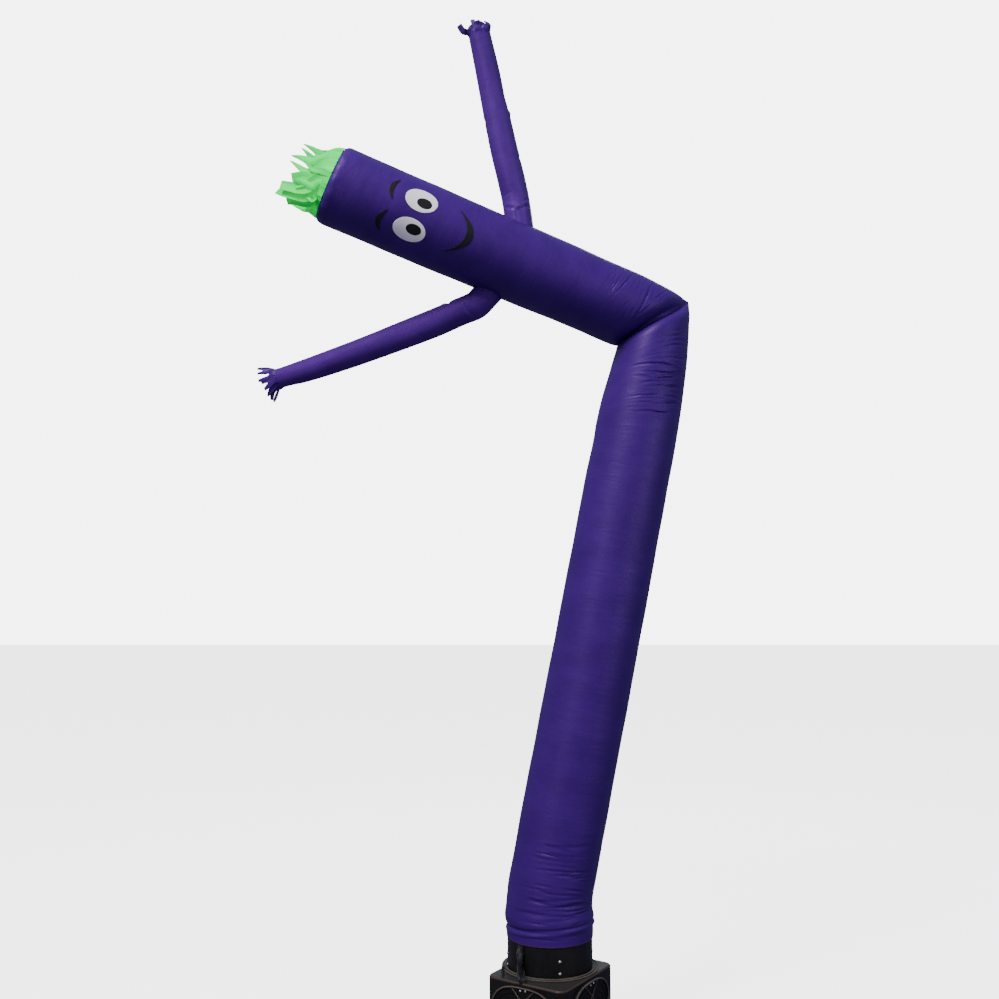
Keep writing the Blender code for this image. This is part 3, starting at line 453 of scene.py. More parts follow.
def nylon(name, dark, light, roughness=0.50, level=0.25, gleam=(1.0, 1.0, 1.0), crinkle=0.5,
          patches=(3.0, 6.6), painted_glow=0.0, bands=()):
    """Thin coated nylon: a satin cloth with faint cross crinkles and a fine plain weave.

    gleam tints its highlights, patches is how its tone varies round and along it, painted_glow is
    a painted glow, given for the fluorescent dye, that keeps the cloth bright even in shade, and
    bands are hems of another colour: (from, to, colour) along it.
    """
    made = Finish(name, light, roughness)
    tune(made.shader, Specular_IOR_Level=level, Specular_Tint=(*gleam, 1.0))
    flat = made.space("UV")
    tone = made.noise(made.space("UV", (*patches, 1.0)), 1.0, 4.0, 0.55, 0.4)
    colour = made.ramp(tone, (0.30, dark), (0.70, light))
    for low, high, other in bands:
        colour = made.band(colour, low, high, other)
    made.colour(colour)
    # Painted glow: the cloth's colour is also given out as light, so it stays bright in shade.
    if painted_glow:
        made.link(colour, made.shader.inputs["Emission Color"])
        tune(made.shader, Emission_Strength=painted_glow)
    made.roughness(made.ramp(made.noise(flat, 14.0, 3.0), (0.3, roughness - 0.06),
                             (0.7, roughness + 0.08)))
    cross = made.noise(made.space("UV", (5.0, 34.0, 1.0)), 1.0, 4.0, 0.6, 0.8)
    made.bump(cross, crinkle, 0.0035)
    made.bump(made.noise(flat, 30.0, 4.0, 0.6, 0.6), crinkle * 0.5, 0.0016)
    for thread in "XY":
        made.bump(made.wave(flat, 320.0, thread), 0.05, 0.0003)
    return made.material


def steel(name, colour, worn, roughness, metallic, bands=()):
    """Black enamelled sheet steel with faint orange peel, dust and rubbed spots.

    bands are levels of another colour: (from, to, colour) up the piece.
    """
    made = Finish(name, colour, roughness, metallic)
    tune(made.shader, Specular_IOR_Level=0.25)
    here = made.space("Object")
    dust = made.noise(here, 6.0, 6.0, 0.6, 0.3)
    mixed = made.ramp(dust, (0.42, colour), (0.75, worn))
    for low, high, other in bands:
        mixed = made.band(mixed, low, high, other, "Object", "Z")
    made.colour(mixed)
    made.roughness(made.ramp(made.noise(here, 18.0, 5.0, 0.6), (0.3, roughness - 0.10),
                             (0.7, roughness + 0.12)))
    made.bump(made.noise(here, 420.0, 2.0), 0.08, 0.0004)
    made.bump(made.noise(here, 9.0, 2.0), 0.15, 0.0012)
    return made.material


def rubber(name, colour):
    """Matt rubber with a fine grain and dusty patches."""
    made = Finish(name, colour, 0.78)
    here = made.space("Object")
    made.colour(made.ramp(made.noise(here, 20.0, 5.0), (0.35, colour),
                          (0.75, tuple(2.2 * c for c in colour))))
    made.bump(made.noise(here, 300.0, 2.0), 0.2, 0.0005)
    return made.material


def webbing(name, colour):
    """Woven strap: coarse ribs across it and a finer twill along it."""
    made = Finish(name, colour, 0.36)
    tune(made.shader, Specular_IOR_Level=0.35)
    flat = made.space("UV")
    ribs = made.wave(flat, 110.0, "Y", 0.6)
    made.bump(ribs, 0.5, 0.0009)
    made.bump(made.wave(flat, 260.0, "X"), 0.3, 0.0005)
    made.colour(made.ramp(made.noise(flat, 60.0, 4.0), (0.35, colour),
                          (0.7, tuple(3.0 * c for c in colour))))
    return made.material


PURPLE_DARK, PURPLE_LIGHT = (0.034, 0.0042, 0.127), (0.046, 0.0061, 0.163)
PURPLE_HEM, PURPLE_BOUND = (0.044, 0.0066, 0.154), (0.085, 0.020, 0.110)
PURPLE_GLEAM = (0.75, 0.50, 1.0)
PURPLE = nylon("purple_nylon", PURPLE_DARK, PURPLE_LIGHT, 0.46, 0.40, PURPLE_GLEAM)
# The green strips carry a painted glow.
GREEN = nylon("green_nylon", (0.001, 0.38, 0.058), (0.003, 1.00, 0.125), 0.50, 0.12,
              (0.2, 1.0, 0.3), crinkle=0.25, patches=(16.0, 3.0), painted_glow=0.36)
# The sleeves are lighter copies of the tube's purple nylon: painted light for the light through
# their thin cloth, the raised one lighter and glossier.
RAISED_PAINTED_LIT_NYLON = nylon("raised_painted_lit_nylon", (0.058, 0.0112, 0.174), (0.079, 0.0158, 0.224),
                     0.44, 0.44, PURPLE_GLEAM)
LOW_PAINTED_LIT_NYLON = nylon("low_painted_lit_nylon", (0.051, 0.0100, 0.152), (0.069, 0.0145, 0.196), 0.60, 0.14,
                  PURPLE_GLEAM)
WHITE = nylon("white_nylon", (0.80, 0.80, 0.78), (0.90, 0.90, 0.89), 0.55, crinkle=0.2)
BLACK = nylon("black_nylon", (0.006, 0.006, 0.007), (0.011, 0.011, 0.012), 0.45, crinkle=0.25)
STRAP = webbing("webbing", (0.004, 0.004, 0.0045))
BLACK_PAINT, DUSTY_PAINT = (0.0060, 0.0062, 0.0055), (0.0130, 0.0120, 0.0105)
STEEL = steel("painted_steel", BLACK_PAINT, DUSTY_PAINT, 0.42, 0.0)
EDGE_Z = BOX_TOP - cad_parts["housing"].matrix_world.translation.z
# The housing turns reddish-brown just under its top edge, partly worn paint and partly a painted
# highlight along the edge, and its top is a lighter grey.
HOUSING = steel("housing_steel", BLACK_PAINT, DUSTY_PAINT, 0.42, 0.0, (
    (EDGE_Z - 0.0100, EDGE_Z - 0.0008, (0.050, 0.030, 0.021)),
    (EDGE_Z - 0.0008, EDGE_Z + 0.0100, (0.026, 0.026, 0.022))))
# Near-black, darker than the paint: painted shade for the inside of the intakes behind the guards.
DARK = steel("intake_painted_shade", (0.0022, 0.0022, 0.0021), (0.0040, 0.0036, 0.0032), 0.60, 0.0)
# Pale brown; on the flange's beads it is partly worn edges and partly a painted highlight along
# them.
TRIM = steel("flange_steel", (0.075, 0.063, 0.053), (0.135, 0.112, 0.092), 0.50, 0.1)
BRIGHT = steel("bright_steel", (0.55, 0.52, 0.48), (0.38, 0.30, 0.22), 0.35, 0.6)
RUBBER = rubber("rubber", (0.009, 0.009, 0.009))


def finish_piece(made):
    """Every piece is fixed to the one body."""
    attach(made, "root")
    return made


# ---- The tube -----------------------------------------------------------------------------
TUBE_ROWS = np.array(
    [(x, 0.0, z, roll, 0.0, wide, deep) for x, z, roll, wide, deep in LOWER_TUBE]
    + [(ELBOW[0], 0.0, ELBOW[1], ELBOW[2], 0.0, ELBOW[3], ELBOW[4])] + list(UPPER_TUBE))
TUBE_KNOTS = run_along(TUBE_ROWS[:, :3])
TUBE_KNOTS -= TUBE_KNOTS[len(LOWER_TUBE)]


def section(along):
    """Centres, cross, depth and outward directions and half sizes of the tube's sections."""
    along = np.atleast_1d(along)
    x, y, z, roll, lean, wide, deep = (
        smooth_curve(TUBE_KNOTS, column, along) for column in TUBE_ROWS.T)
    roll, lean = np.radians(roll), np.radians(lean)
    across = np.stack([np.cos(roll), np.zeros_like(roll), np.sin(roll)], -1)
    onward = np.stack([-np.sin(roll) * np.cos(lean), -np.sin(lean),
                       np.cos(roll) * np.cos(lean)], -1)
    return np.stack([x, y, z], -1), across, np.cross(onward, across), onward, wide, deep


def trough(along, angle, crease):
    """The depth of one crease: a pressed line with a soft ridge on either side."""
    place, middle, span, depth, width, slant, bow = crease
    turn = turn_of(angle, middle) / span
    near = np.clip(1.0 - turn * turn, 0.0, 1.0)
    off = (along - place - slant * turn - bow * near) / width
    ridge = np.exp(-((off - RIDGE_AT) / RIDGE_REACH) ** 2)
    shape = np.exp(-off * off) - RIDGE_SHARE * ridge
    return depth * shape * near ** 0.8


def scattered_creases():
    """The fine creases, in the same form as the listed ones."""
    chance = np.random.default_rng(SCATTER_SEED)
    rows = []
    for low, high, middle, reach, count, span, depth, width, slant in SCATTERS:
        for _ in range(count):
            rows.append((chance.uniform(low, high), middle + reach * chance.uniform(-1, 1),
                         span * chance.uniform(0.5, 1.5), depth * chance.uniform(0.4, 1.3),
                         width * chance.uniform(0.7, 1.5), slant * chance.uniform(-0.6, 1.8),
                         0.006 * chance.uniform(-1, 1)))
    return rows


ALL_CREASES = list(CREASES) + scattered_creases()


def relief(along, angle):
    """How far the cloth stands out of its plain section, at each place along and round."""
    out = np.zeros(np.broadcast(along, angle).shape)
    for crease in ALL_CREASES:
        out -= trough(along, angle, crease)
    # The groove of the fold, steep above and gentle below, which fades at the outer corner.
    inner = np.abs(turn_of(angle, 180.0)) / 180.0
    groove = GROOVE_AT_INNER * np.exp(-(inner / GROOVE_INNER_REACH) ** 2)
    groove = groove + GROOVE_DEPTH * np.clip(np.sin(np.pi * inner), 0, 1) ** 0.8
    off = along + GROOVE_SAG * np.sin(np.pi * inner) ** 2
    reach = np.where(off > 0, GROOVE_ABOVE, GROOVE_BELOW)
    out -= groove * np.exp(-(np.abs(off) / reach) ** 1.1)
    # The cuff: a roll over the hem's tuck.
    top = CUFF_TOP + CUFF_TILT * np.sin(np.radians(turn_of(angle, CUFF_LEVEL_AT)))
    out += CUFF_ROLL * np.exp(-((along - top - CUFF_ROLL_AT) / CUFF_ROLL_REACH) ** 2)
    out -= CUFF_TUCK * np.exp(-((along - top - CUFF_TUCK_AT) / CUFF_TUCK_REACH) ** 2)
    # Slack between the seams: the wall is never a true round.
    turn = np.radians(angle)
    out += 0.0011 * np.sin(3 * turn + 1.9 * along + 0.6) * np.cos(2.1 * along + 1.0)
    out += 0.0008 * np.sin(5 * turn - 2.7 * along) * np.sin(3.7 * along)
    out += 0.0007 * np.sin(11.0 * along + 2 * turn) + 0.0004 * np.sin(23.0 * along - 3 * turn)
    return out


def tube_points(along, angle, out=0.0):
    """Points of the tube's outside, for arrays of the same shape."""
    along, angle, out = np.broadcast_arrays(*(np.asarray(v, float) for v in (along, angle, out)))
    shape = along.shape
    flat, turn = along.ravel(), np.radians(angle.ravel())
    centre, across, back, _, wide, deep = section(flat)
    grow = relief(flat, angle.ravel()) + out.ravel()
    pinch = ELBOW_PINCH * np.exp(-(flat / ELBOW_PINCH_REACH) ** 2)
    deep = deep * (1.0 - pinch * np.cos(turn) ** 2)
    points = (centre + across * ((wide + grow) * np.cos(turn))[:, None]
              + back * ((deep + grow) * np.sin(turn))[:, None])
    return points.reshape(*shape, 3)


def head_end_points(angle):
    """The rounded end of the head, and how far each of its rings runs on from the last section."""
    out, share = np.array(HEAD_END).T
    centre, across, back, onward, wide, deep = (v[0] for v in section(TUBE_KNOTS[-1]))
    run = np.concatenate([[0.0], np.cumsum(np.hypot(np.diff(out), np.diff(share) * wide))])
    at = np.linspace(0.0, run[-1], HEAD_RINGS + 1)[1:]
    out, share = smooth_curve(run, out, at), smooth_curve(run, share, at)
    turn = np.radians(angle)
    fade = np.sin(np.pi * np.clip(at / HEAD_GATHER_RUN, 0, 1))[:, None]
    gather = 1.0 + HEAD_GATHER * np.sin(HEAD_GATHERS * turn + 0.7) * fade
    points = (centre + onward * out[:, None, None]
              + across * (wide * share[:, None] * gather * np.cos(turn))[..., None]
              + back * (deep * share[:, None] * gather * np.sin(turn))[..., None])
    return points, at


def tube_places():
    """How far along each ring of the tube is."""
    places = []
    starts = [max(zone[0], TUBE_KNOTS[0]) for zone in RING_ZONES] + [TUBE_KNOTS[-1]]
    for (_, spacing), low, high in zip(RING_ZONES, starts, starts[1:]):
        count = max(1, round((high - low) / spacing))
        places.append(low + (high - low) * np.arange(count) / count)
    return np.concatenate(places + [[TUBE_KNOTS[-1]]])


PLACES = tube_places()
ANGLES = 360.0 * np.arange(TUBE_ROUND) / TUBE_ROUND
TUBE_GRID = tube_points(PLACES[:, None], ANGLES[None, :])
HEAD_GRID, HEAD_RUN = head_end_points(ANGLES)
TUBE_GRID = np.concatenate([TUBE_GRID, HEAD_GRID])
TUBE_RUN = np.concatenate([PLACES - PLACES[0], PLACES[-1] - PLACES[0] + HEAD_RUN])

SHOULDER_ALONG, SHOULDER_HOLE, SHOULDER_RADIUS = 0.925, 0.048, 0.212
CAD_ROUND = 32            # facets of the part's tube, on whose edges the sleeves are centred
RAISED_ANGLE, LOW_ANGLE = 360.0 * 31 / CAD_ROUND, 360.0 * 15 / CAD_ROUND


def shoulder_holes():
    """The cells of the tube's grid that are cut out inside each sleeve."""
    cells = np.zeros((len(TUBE_RUN) - 1, TUBE_ROUND), bool)
    middle = (PLACES[:-1] + PLACES[1:])[:, None] / 2
    turn = ANGLES[None, :] + 180.0 / TUBE_ROUND
    for angle in (RAISED_ANGLE, LOW_ANGLE):
        off = np.radians(turn_of(turn, angle)) * SHOULDER_RADIUS
        cells[:len(PLACES) - 1] |= np.hypot(middle - SHOULDER_ALONG, off) < SHOULDER_HOLE
    return cells


def grid_surface(grid):
    """A grid of closed rings as a surface that rays can meet."""
    rings, count = grid.shape[:2]
    faces = [(i * count + j, i * count + (j + 1) % count, (i + 1) * count + (j + 1) % count,
              (i + 1) * count + j) for i in range(rings - 1) for j in range(count)]
    return BVHTree.FromPolygons(grid.reshape(-1, 3).tolist(), faces)


RIM = float(TUBE_RUN[len(PLACES) - 1])
TUBE_NYLON = nylon("tube_nylon", PURPLE_DARK, PURPLE_LIGHT, 0.46, 0.34, PURPLE_GLEAM, bands=(
    (-0.01, HEM_EDGE, PURPLE_BOUND), (RIM - 0.002, RIM + RIM_BAND, PURPLE_HEM)))
tube = shell("tube_cloth", TUBE_GRID, CLOTH, TUBE_NYLON, TUBE_GIRTH, TUBE_RUN,
             shoulder_holes())
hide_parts("tube")
finish_piece(tube)
TUBE_SURFACE = grid_surface(TUBE_GRID)


# ---- Sleeves ------------------------------------------------------------------------------
RAISED_SLEEVE = (
    # x,      y,      z,     radius
    (-0.1790, -0.2440, 4.5500, 0.0755),
    (-0.2000, -0.2640, 4.6400, 0.0755),
    (-0.2420, -0.3000, 4.8000, 0.0745),
    (-0.2828, -0.3450, 4.9800, 0.0707),
    (-0.3045, -0.3670, 5.0700, 0.0662),
    (-0.3222, -0.3900, 5.1600, 0.0655),
    (-0.3770, -0.4585, 5.3850, 0.0590),
)
LOW_SLEEVE = (
    # x,      y,      z,     radius
    (-0.4000, -0.1570, 3.9860, 0.0775),
    (-0.4750, -0.1500, 3.9550, 0.0755),
    (-0.6300, -0.1300, 3.8910, 0.0775),
    (-0.7960, -0.1100, 3.8305, 0.0755),
    (-0.9600, -0.0900, 3.7730, 0.0720),
    (-1.1320, -0.0700, 3.7140, 0.0690),
    (-1.3700, -0.0400, 3.6385, 0.0620),
    (-1.4600, -0.0240, 3.6170, 0.0560),
    (-1.5000, -0.0180, 3.6060, 0.0555),
)
# Creases of the sleeves, in the same form as the tube's: along from the shoulder, and the
# angle round, where 0 faces the camera and 90 is the side towards the head or the ground.
RAISED_CREASES = (
    (0.048, 16.0, 56.0, 0.0050, 0.0075, 0.026, 0.006),
    (0.066, -34.0, 40.0, 0.0044, 0.0065, -0.022, 0.000),
    (0.098, 44.0, 30.0, 0.0028, 0.0060, 0.015, 0.004),
    (0.155, -40.0, 30.0, 0.0024, 0.0060, 0.006, 0.000),
    (0.330, 80.0, 40.0, 0.0030, 0.0110, 0.010, 0.000),
    (0.560, -90.0, 40.0, 0.0025, 0.0120, 0.010, 0.000),
    (0.575, 90.0, 30.0, -0.0060, 0.0120, 0.010, 0.000),
)
LOW_CREASES = (
    (0.060, 0.0, 60.0, 0.0060, 0.0080, 0.020, 0.000),
    (0.095, 40.0, 50.0, 0.0050, 0.0080, -0.020, 0.000),
    (0.140, -20.0, 50.0, 0.0045, 0.0080, 0.020, 0.004),
    (0.230, 90.0, 60.0, 0.0080, 0.0130, 0.010, 0.000),
    (0.420, -70.0, 40.0, 0.0040, 0.0100, 0.010, 0.000),
)
SLEEVE_ROUND, SLEEVE_SPACING = 56, 0.0070
SLEEVE_SLACK = 0.0009
# The gathers at the shoulder seam: depth, number round, and their middle and reach along.
SEAM_GATHER, SEAM_GATHERS, SEAM_AT, SEAM_REACH = 0.0013, 13, 0.035, 0.045
ROOT_CLEAR = 0.004        # how far a sleeve's first free ring stands off the tube
ROOT_START, ROOT_LIFT = 0.020, 0.0004     # where the search for the tube's wall starts and stops
ROOT_RINGS = 6            # from the tube's wall to the first free ring
# Count, depth and width of each sleeve's fine creases.
RAISED_SCATTER, LOW_SCATTER = (14, 0.0010, 0.0065), (24, 0.0013, 0.0055)


def stand_off(ring):
    """How far out of the tube's surface the nearest point of a ring is."""
    near = [TUBE_SURFACE.find_nearest(Vector(p)) for p in ring]
    return min((Vector(p) - n[0]).dot(n[1]) for p, n in zip(ring, near))


class Sleeve:
    """A sleeve's centreline, from the tube's wall to its wrist, and its directions."""

    def __init__(self, table, angle, scatter, seed):
        root = tube_points([SHOULDER_ALONG], [angle])[0]
        rows = np.array([(*root, table[0][3])] + list(table))
        knots = run_along(rows[:, :3])
        self.length = knots[-1]
        self.at = np.linspace(0.0, self.length, round(self.length / SLEEVE_SPACING) + 1)
        self.line = np.stack([smooth_curve(knots, c, self.at) for c in rows[:, :3].T], -1)
        self.radius = smooth_curve(knots, rows[:, 3], self.at)
        self.onward = unit(np.gradient(self.line, axis=0))
        guide = np.array([0.0, -1.0, 0.0])
        self.front = unit(guide - self.onward * (self.onward @ guide)[:, None])
        self.side = np.cross(self.onward, self.front)
        chance = np.random.default_rng(seed)
        count, depth, width = scatter
        self.fine = [(self.length * chance.uniform(0.03, 1.0) ** 1.3, chance.uniform(-180, 180),
                      chance.uniform(25, 60), depth * chance.uniform(0.3, 1.2),
                      width * chance.uniform(0.7, 1.8), 0.015 * chance.uniform(-1, 1),
                      0.004 * chance.uniform(-1, 1)) for _ in range(count)]

    def grid(self, creases):
        """The sleeve's outside, seated on the tube."""
        angle = 360.0 * np.arange(SLEEVE_ROUND) / SLEEVE_ROUND
        turn = np.radians(angle)
        out = np.zeros((len(self.at), SLEEVE_ROUND))
        for crease in list(creases) + self.fine:
            out -= trough(self.at[:, None], angle[None, :], crease)
        out += SLEEVE_SLACK * np.sin(3 * turn[None, :] + 9.0 * self.at[:, None])
        gather = np.exp(-((self.at - SEAM_AT) / SEAM_REACH) ** 2)[:, None]
        out += gather * SEAM_GATHER * np.sin(SEAM_GATHERS * turn[None, :] + 1.0)
        spread = (self.radius[:, None] + out)[..., None]
        grid = self.line[:, None] + spread * (
            self.front[:, None] * np.cos(turn)[None, :, None]
            + self.side[:, None] * np.sin(turn)[None, :, None])
        first = next(i for i, ring in enumerate(grid) if stand_off(ring) > ROOT_CLEAR)
        away = self.onward[0]
        root = np.array([TUBE_SURFACE.ray_cast(Vector(p + away * ROOT_START), Vector(-away))[0]
                         for p in grid[first]]) + away * ROOT_LIFT
        share = np.arange(ROOT_RINGS)[:, None, None] / ROOT_RINGS
        lead = root[None] * (1 - share) + grid[first][None] * share
        full = np.concatenate([lead, grid[first:]])
        mean = np.linalg.norm(np.diff(full, axis=0), axis=2).mean(1)
        return full, np.concatenate([[0.0], np.cumsum(mean)])


raised = Sleeve(RAISED_SLEEVE, RAISED_ANGLE, RAISED_SCATTER, 5)
low = Sleeve(LOW_SLEEVE, LOW_ANGLE, LOW_SCATTER, 8)
for name, sleeve, creases, cloth in (("sleeve_raised", raised, RAISED_CREASES, RAISED_PAINTED_LIT_NYLON),
                                     ("sleeve_low", low, LOW_CREASES, LOW_PAINTED_LIT_NYLON)):
    grid, run = sleeve.grid(creases)
    around = 2 * math.pi * float(np.mean(sleeve.radius))
    made = shell(f"{name}_cloth", grid, CLOTH, cloth, around, run)
    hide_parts(name)
    finish_piece(made)


# ---- Fringed hands ------------------------------------------------------------------------
STRIP_ROWS = 22           # rows of points along a strip
TAPER_FROM, TAPER_OVER = 0.58, 0.42     # shares of its length


def blown(strips, origin, axes, knots, tangent, width, left, twist, waver, phase, fold):
    """Adds a strip that leaves its seam flat along the cloth and is blown through its knots.

    axes are its onward, sideways and depth directions, knots are places along them, tangent
    is the way the seam runs, left the share of its width at the tip, and fold how far it cups.
    """
    knots, axes = np.array(knots), np.array(axes)
    at = run_along(knots)
    share = np.linspace(0.0, 1.0, STRIP_ROWS)
    places = np.stack([smooth_curve(at, column, share * at[-1]) for column in knots.T], -1)
    wave = waver * np.sin(8.0 * share + 2.1 * phase) * share
    places[:, 1] += wave
    places[:, 2] += wave * math.sin(1.7 * phase)
    path = origin + places @ axes
    way = unit(np.gradient(path, axis=0))
    flat = unit(np.cross(way, axes[2]))
    flat = flat * (1.0 if float(np.mean(flat @ tangent)) >= 0 else -1.0)
    sides = tangent * (1 - share[:, None]) ** 2 + flat * (1 - (1 - share[:, None]) ** 2)
    sides = unit(sides - way * np.sum(sides * way, 1, keepdims=True))
    spin = (twist * share ** 1.5)[:, None]
    sides = spun(sides, way, spin)
    taper = 1.0 - (1.0 - left) * np.clip((share - TAPER_FROM) / TAPER_OVER, 0.0, 1.0) ** 1.2
    strips.add(path, sides, width * taper, cup=fold * np.sin(math.pi * share))


HAND_INSET = 0.0012       # the strips are sewn inside the wrist
HAND_LAP, HAND_LEAD = 0.006, 0.008       # how far back they start, and then run straight
HAND_WAVER, HAND_CUP = 0.001, 0.003


def hand(name, sleeve, table, material):
    """Strips of cloth sewn round a sleeve's wrist."""
    strips = Strips()
    origin, radius = sleeve.line[-1], sleeve.radius[-1]
    axes = (sleeve.onward[-1], sleeve.side[-1], sleeve.front[-1])
    for k, (angle, *places, width, left, twist) in enumerate(table):
        mid, tip = places[:3], places[3:]
        c, s = cos_sin(angle)
        near = radius - HAND_INSET
        knots = [(-HAND_LAP, near * s, near * c), (HAND_LEAD, near * s, near * c), mid, tip]
        blown(strips, origin, axes, knots, axes[1] * c - axes[2] * s, width, left, twist,
              HAND_WAVER, k, HAND_CUP if k % 2 else -HAND_CUP)
    made = strips.make(f"{name}_fringe", material)
    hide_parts(name)
    finish_piece(made)
    return made, strips


# Each strip's place round the wrist (0 faces the camera), where its middle and its tip are
# blown to, its width, how much of it is left at the tip, and how far it twists.
RAISED_HAND = (
    # angle, ahead, side,   front,  ahead, side,   front,  width, tip,  twist
    (288.0, 0.025, -0.081, 0.020, 0.060, -0.098, 0.020, 0.034, 0.90, 0.0),
    (302.0, 0.026, -0.042, 0.035, 0.041, -0.019, 0.020, 0.030, 0.70, 0.0),
    (328.0, 0.034, -0.019, 0.045, 0.072, -0.021, 0.020, 0.028, 0.85, 0.0),
    (354.0, 0.034, -0.009, 0.050, 0.049, 0.015, 0.035, 0.034, 0.80, 0.5),
    (22.0, 0.025, 0.011, 0.048, 0.046, 0.028, 0.030, 0.030, 0.70, 0.4),
    (50.0, 0.023, 0.036, 0.035, 0.041, 0.038, 0.020, 0.026, 0.60, 0.5),
    (82.0, 0.025, 0.063, 0.012, 0.057, 0.041, -0.005, 0.020, 0.80, 0.9),
    (112.0, 0.026, 0.056, -0.020, 0.045, 0.044, -0.020, 0.030, 0.80, 0.3),
    (148.0, 0.043, 0.034, -0.045, 0.057, 0.020, -0.030, 0.034, 0.80, 0.3),
    (188.0, 0.049, 0.008, -0.050, 0.059, -0.001, -0.030, 0.034, 0.80, -0.3),
    (228.0, 0.048, -0.020, -0.040, 0.064, -0.011, -0.030, 0.034, 0.80, 0.4),
    (262.0, 0.031, -0.039, -0.015, 0.044, -0.039, -0.020, 0.030, 0.80, 0.2),
)
LOW_HAND = (
    # angle, ahead, side,   front,  ahead, side,   front,  width, tip,  twist
    (78.0, 0.048, 0.071, 0.000, 0.106, 0.090, 0.000, 0.022, 0.55, 0.0),
    (52.0, 0.040, 0.048, 0.020, 0.111, 0.062, 0.010, 0.024, 0.40, 0.0),
    (102.0, 0.039, 0.065, -0.020, 0.084, 0.078, -0.010, 0.026, 0.50, 0.1),
    (28.0, 0.051, 0.008, 0.045, 0.110, 0.014, 0.030, 0.030, 0.50, 0.0),
    (8.0, 0.055, -0.007, 0.050, 0.092, -0.007, 0.040, 0.022, 0.55, -0.2),
    (345.0, 0.053, -0.032, 0.045, 0.088, -0.041, 0.030, 0.030, 0.65, 0.2),
    (318.0, 0.048, -0.055, 0.035, 0.082, -0.083, 0.020, 0.028, 0.40, -0.2),
    (293.0, 0.049, -0.062, 0.010, 0.071, -0.105, 0.000, 0.030, 0.55, 0.0),
    (270.0, 0.027, -0.077, 0.006, 0.062, -0.118, 0.000, 0.021, 0.60, 0.0),
    (238.0, 0.057, -0.036, -0.030, 0.074, -0.045, -0.030, 0.034, 0.70, 0.2),
    (202.0, 0.067, -0.007, -0.045, 0.088, -0.015, -0.030, 0.034, 0.70, -0.2),
    (152.0, 0.060, 0.019, -0.045, 0.086, 0.024, -0.030, 0.028, 0.60, 0.2),
)
hand_raised, hand_raised_strips = hand("hand_raised", raised, RAISED_HAND, PURPLE)
hand_low, hand_low_strips = hand("hand_low", low, LOW_HAND, PURPLE)


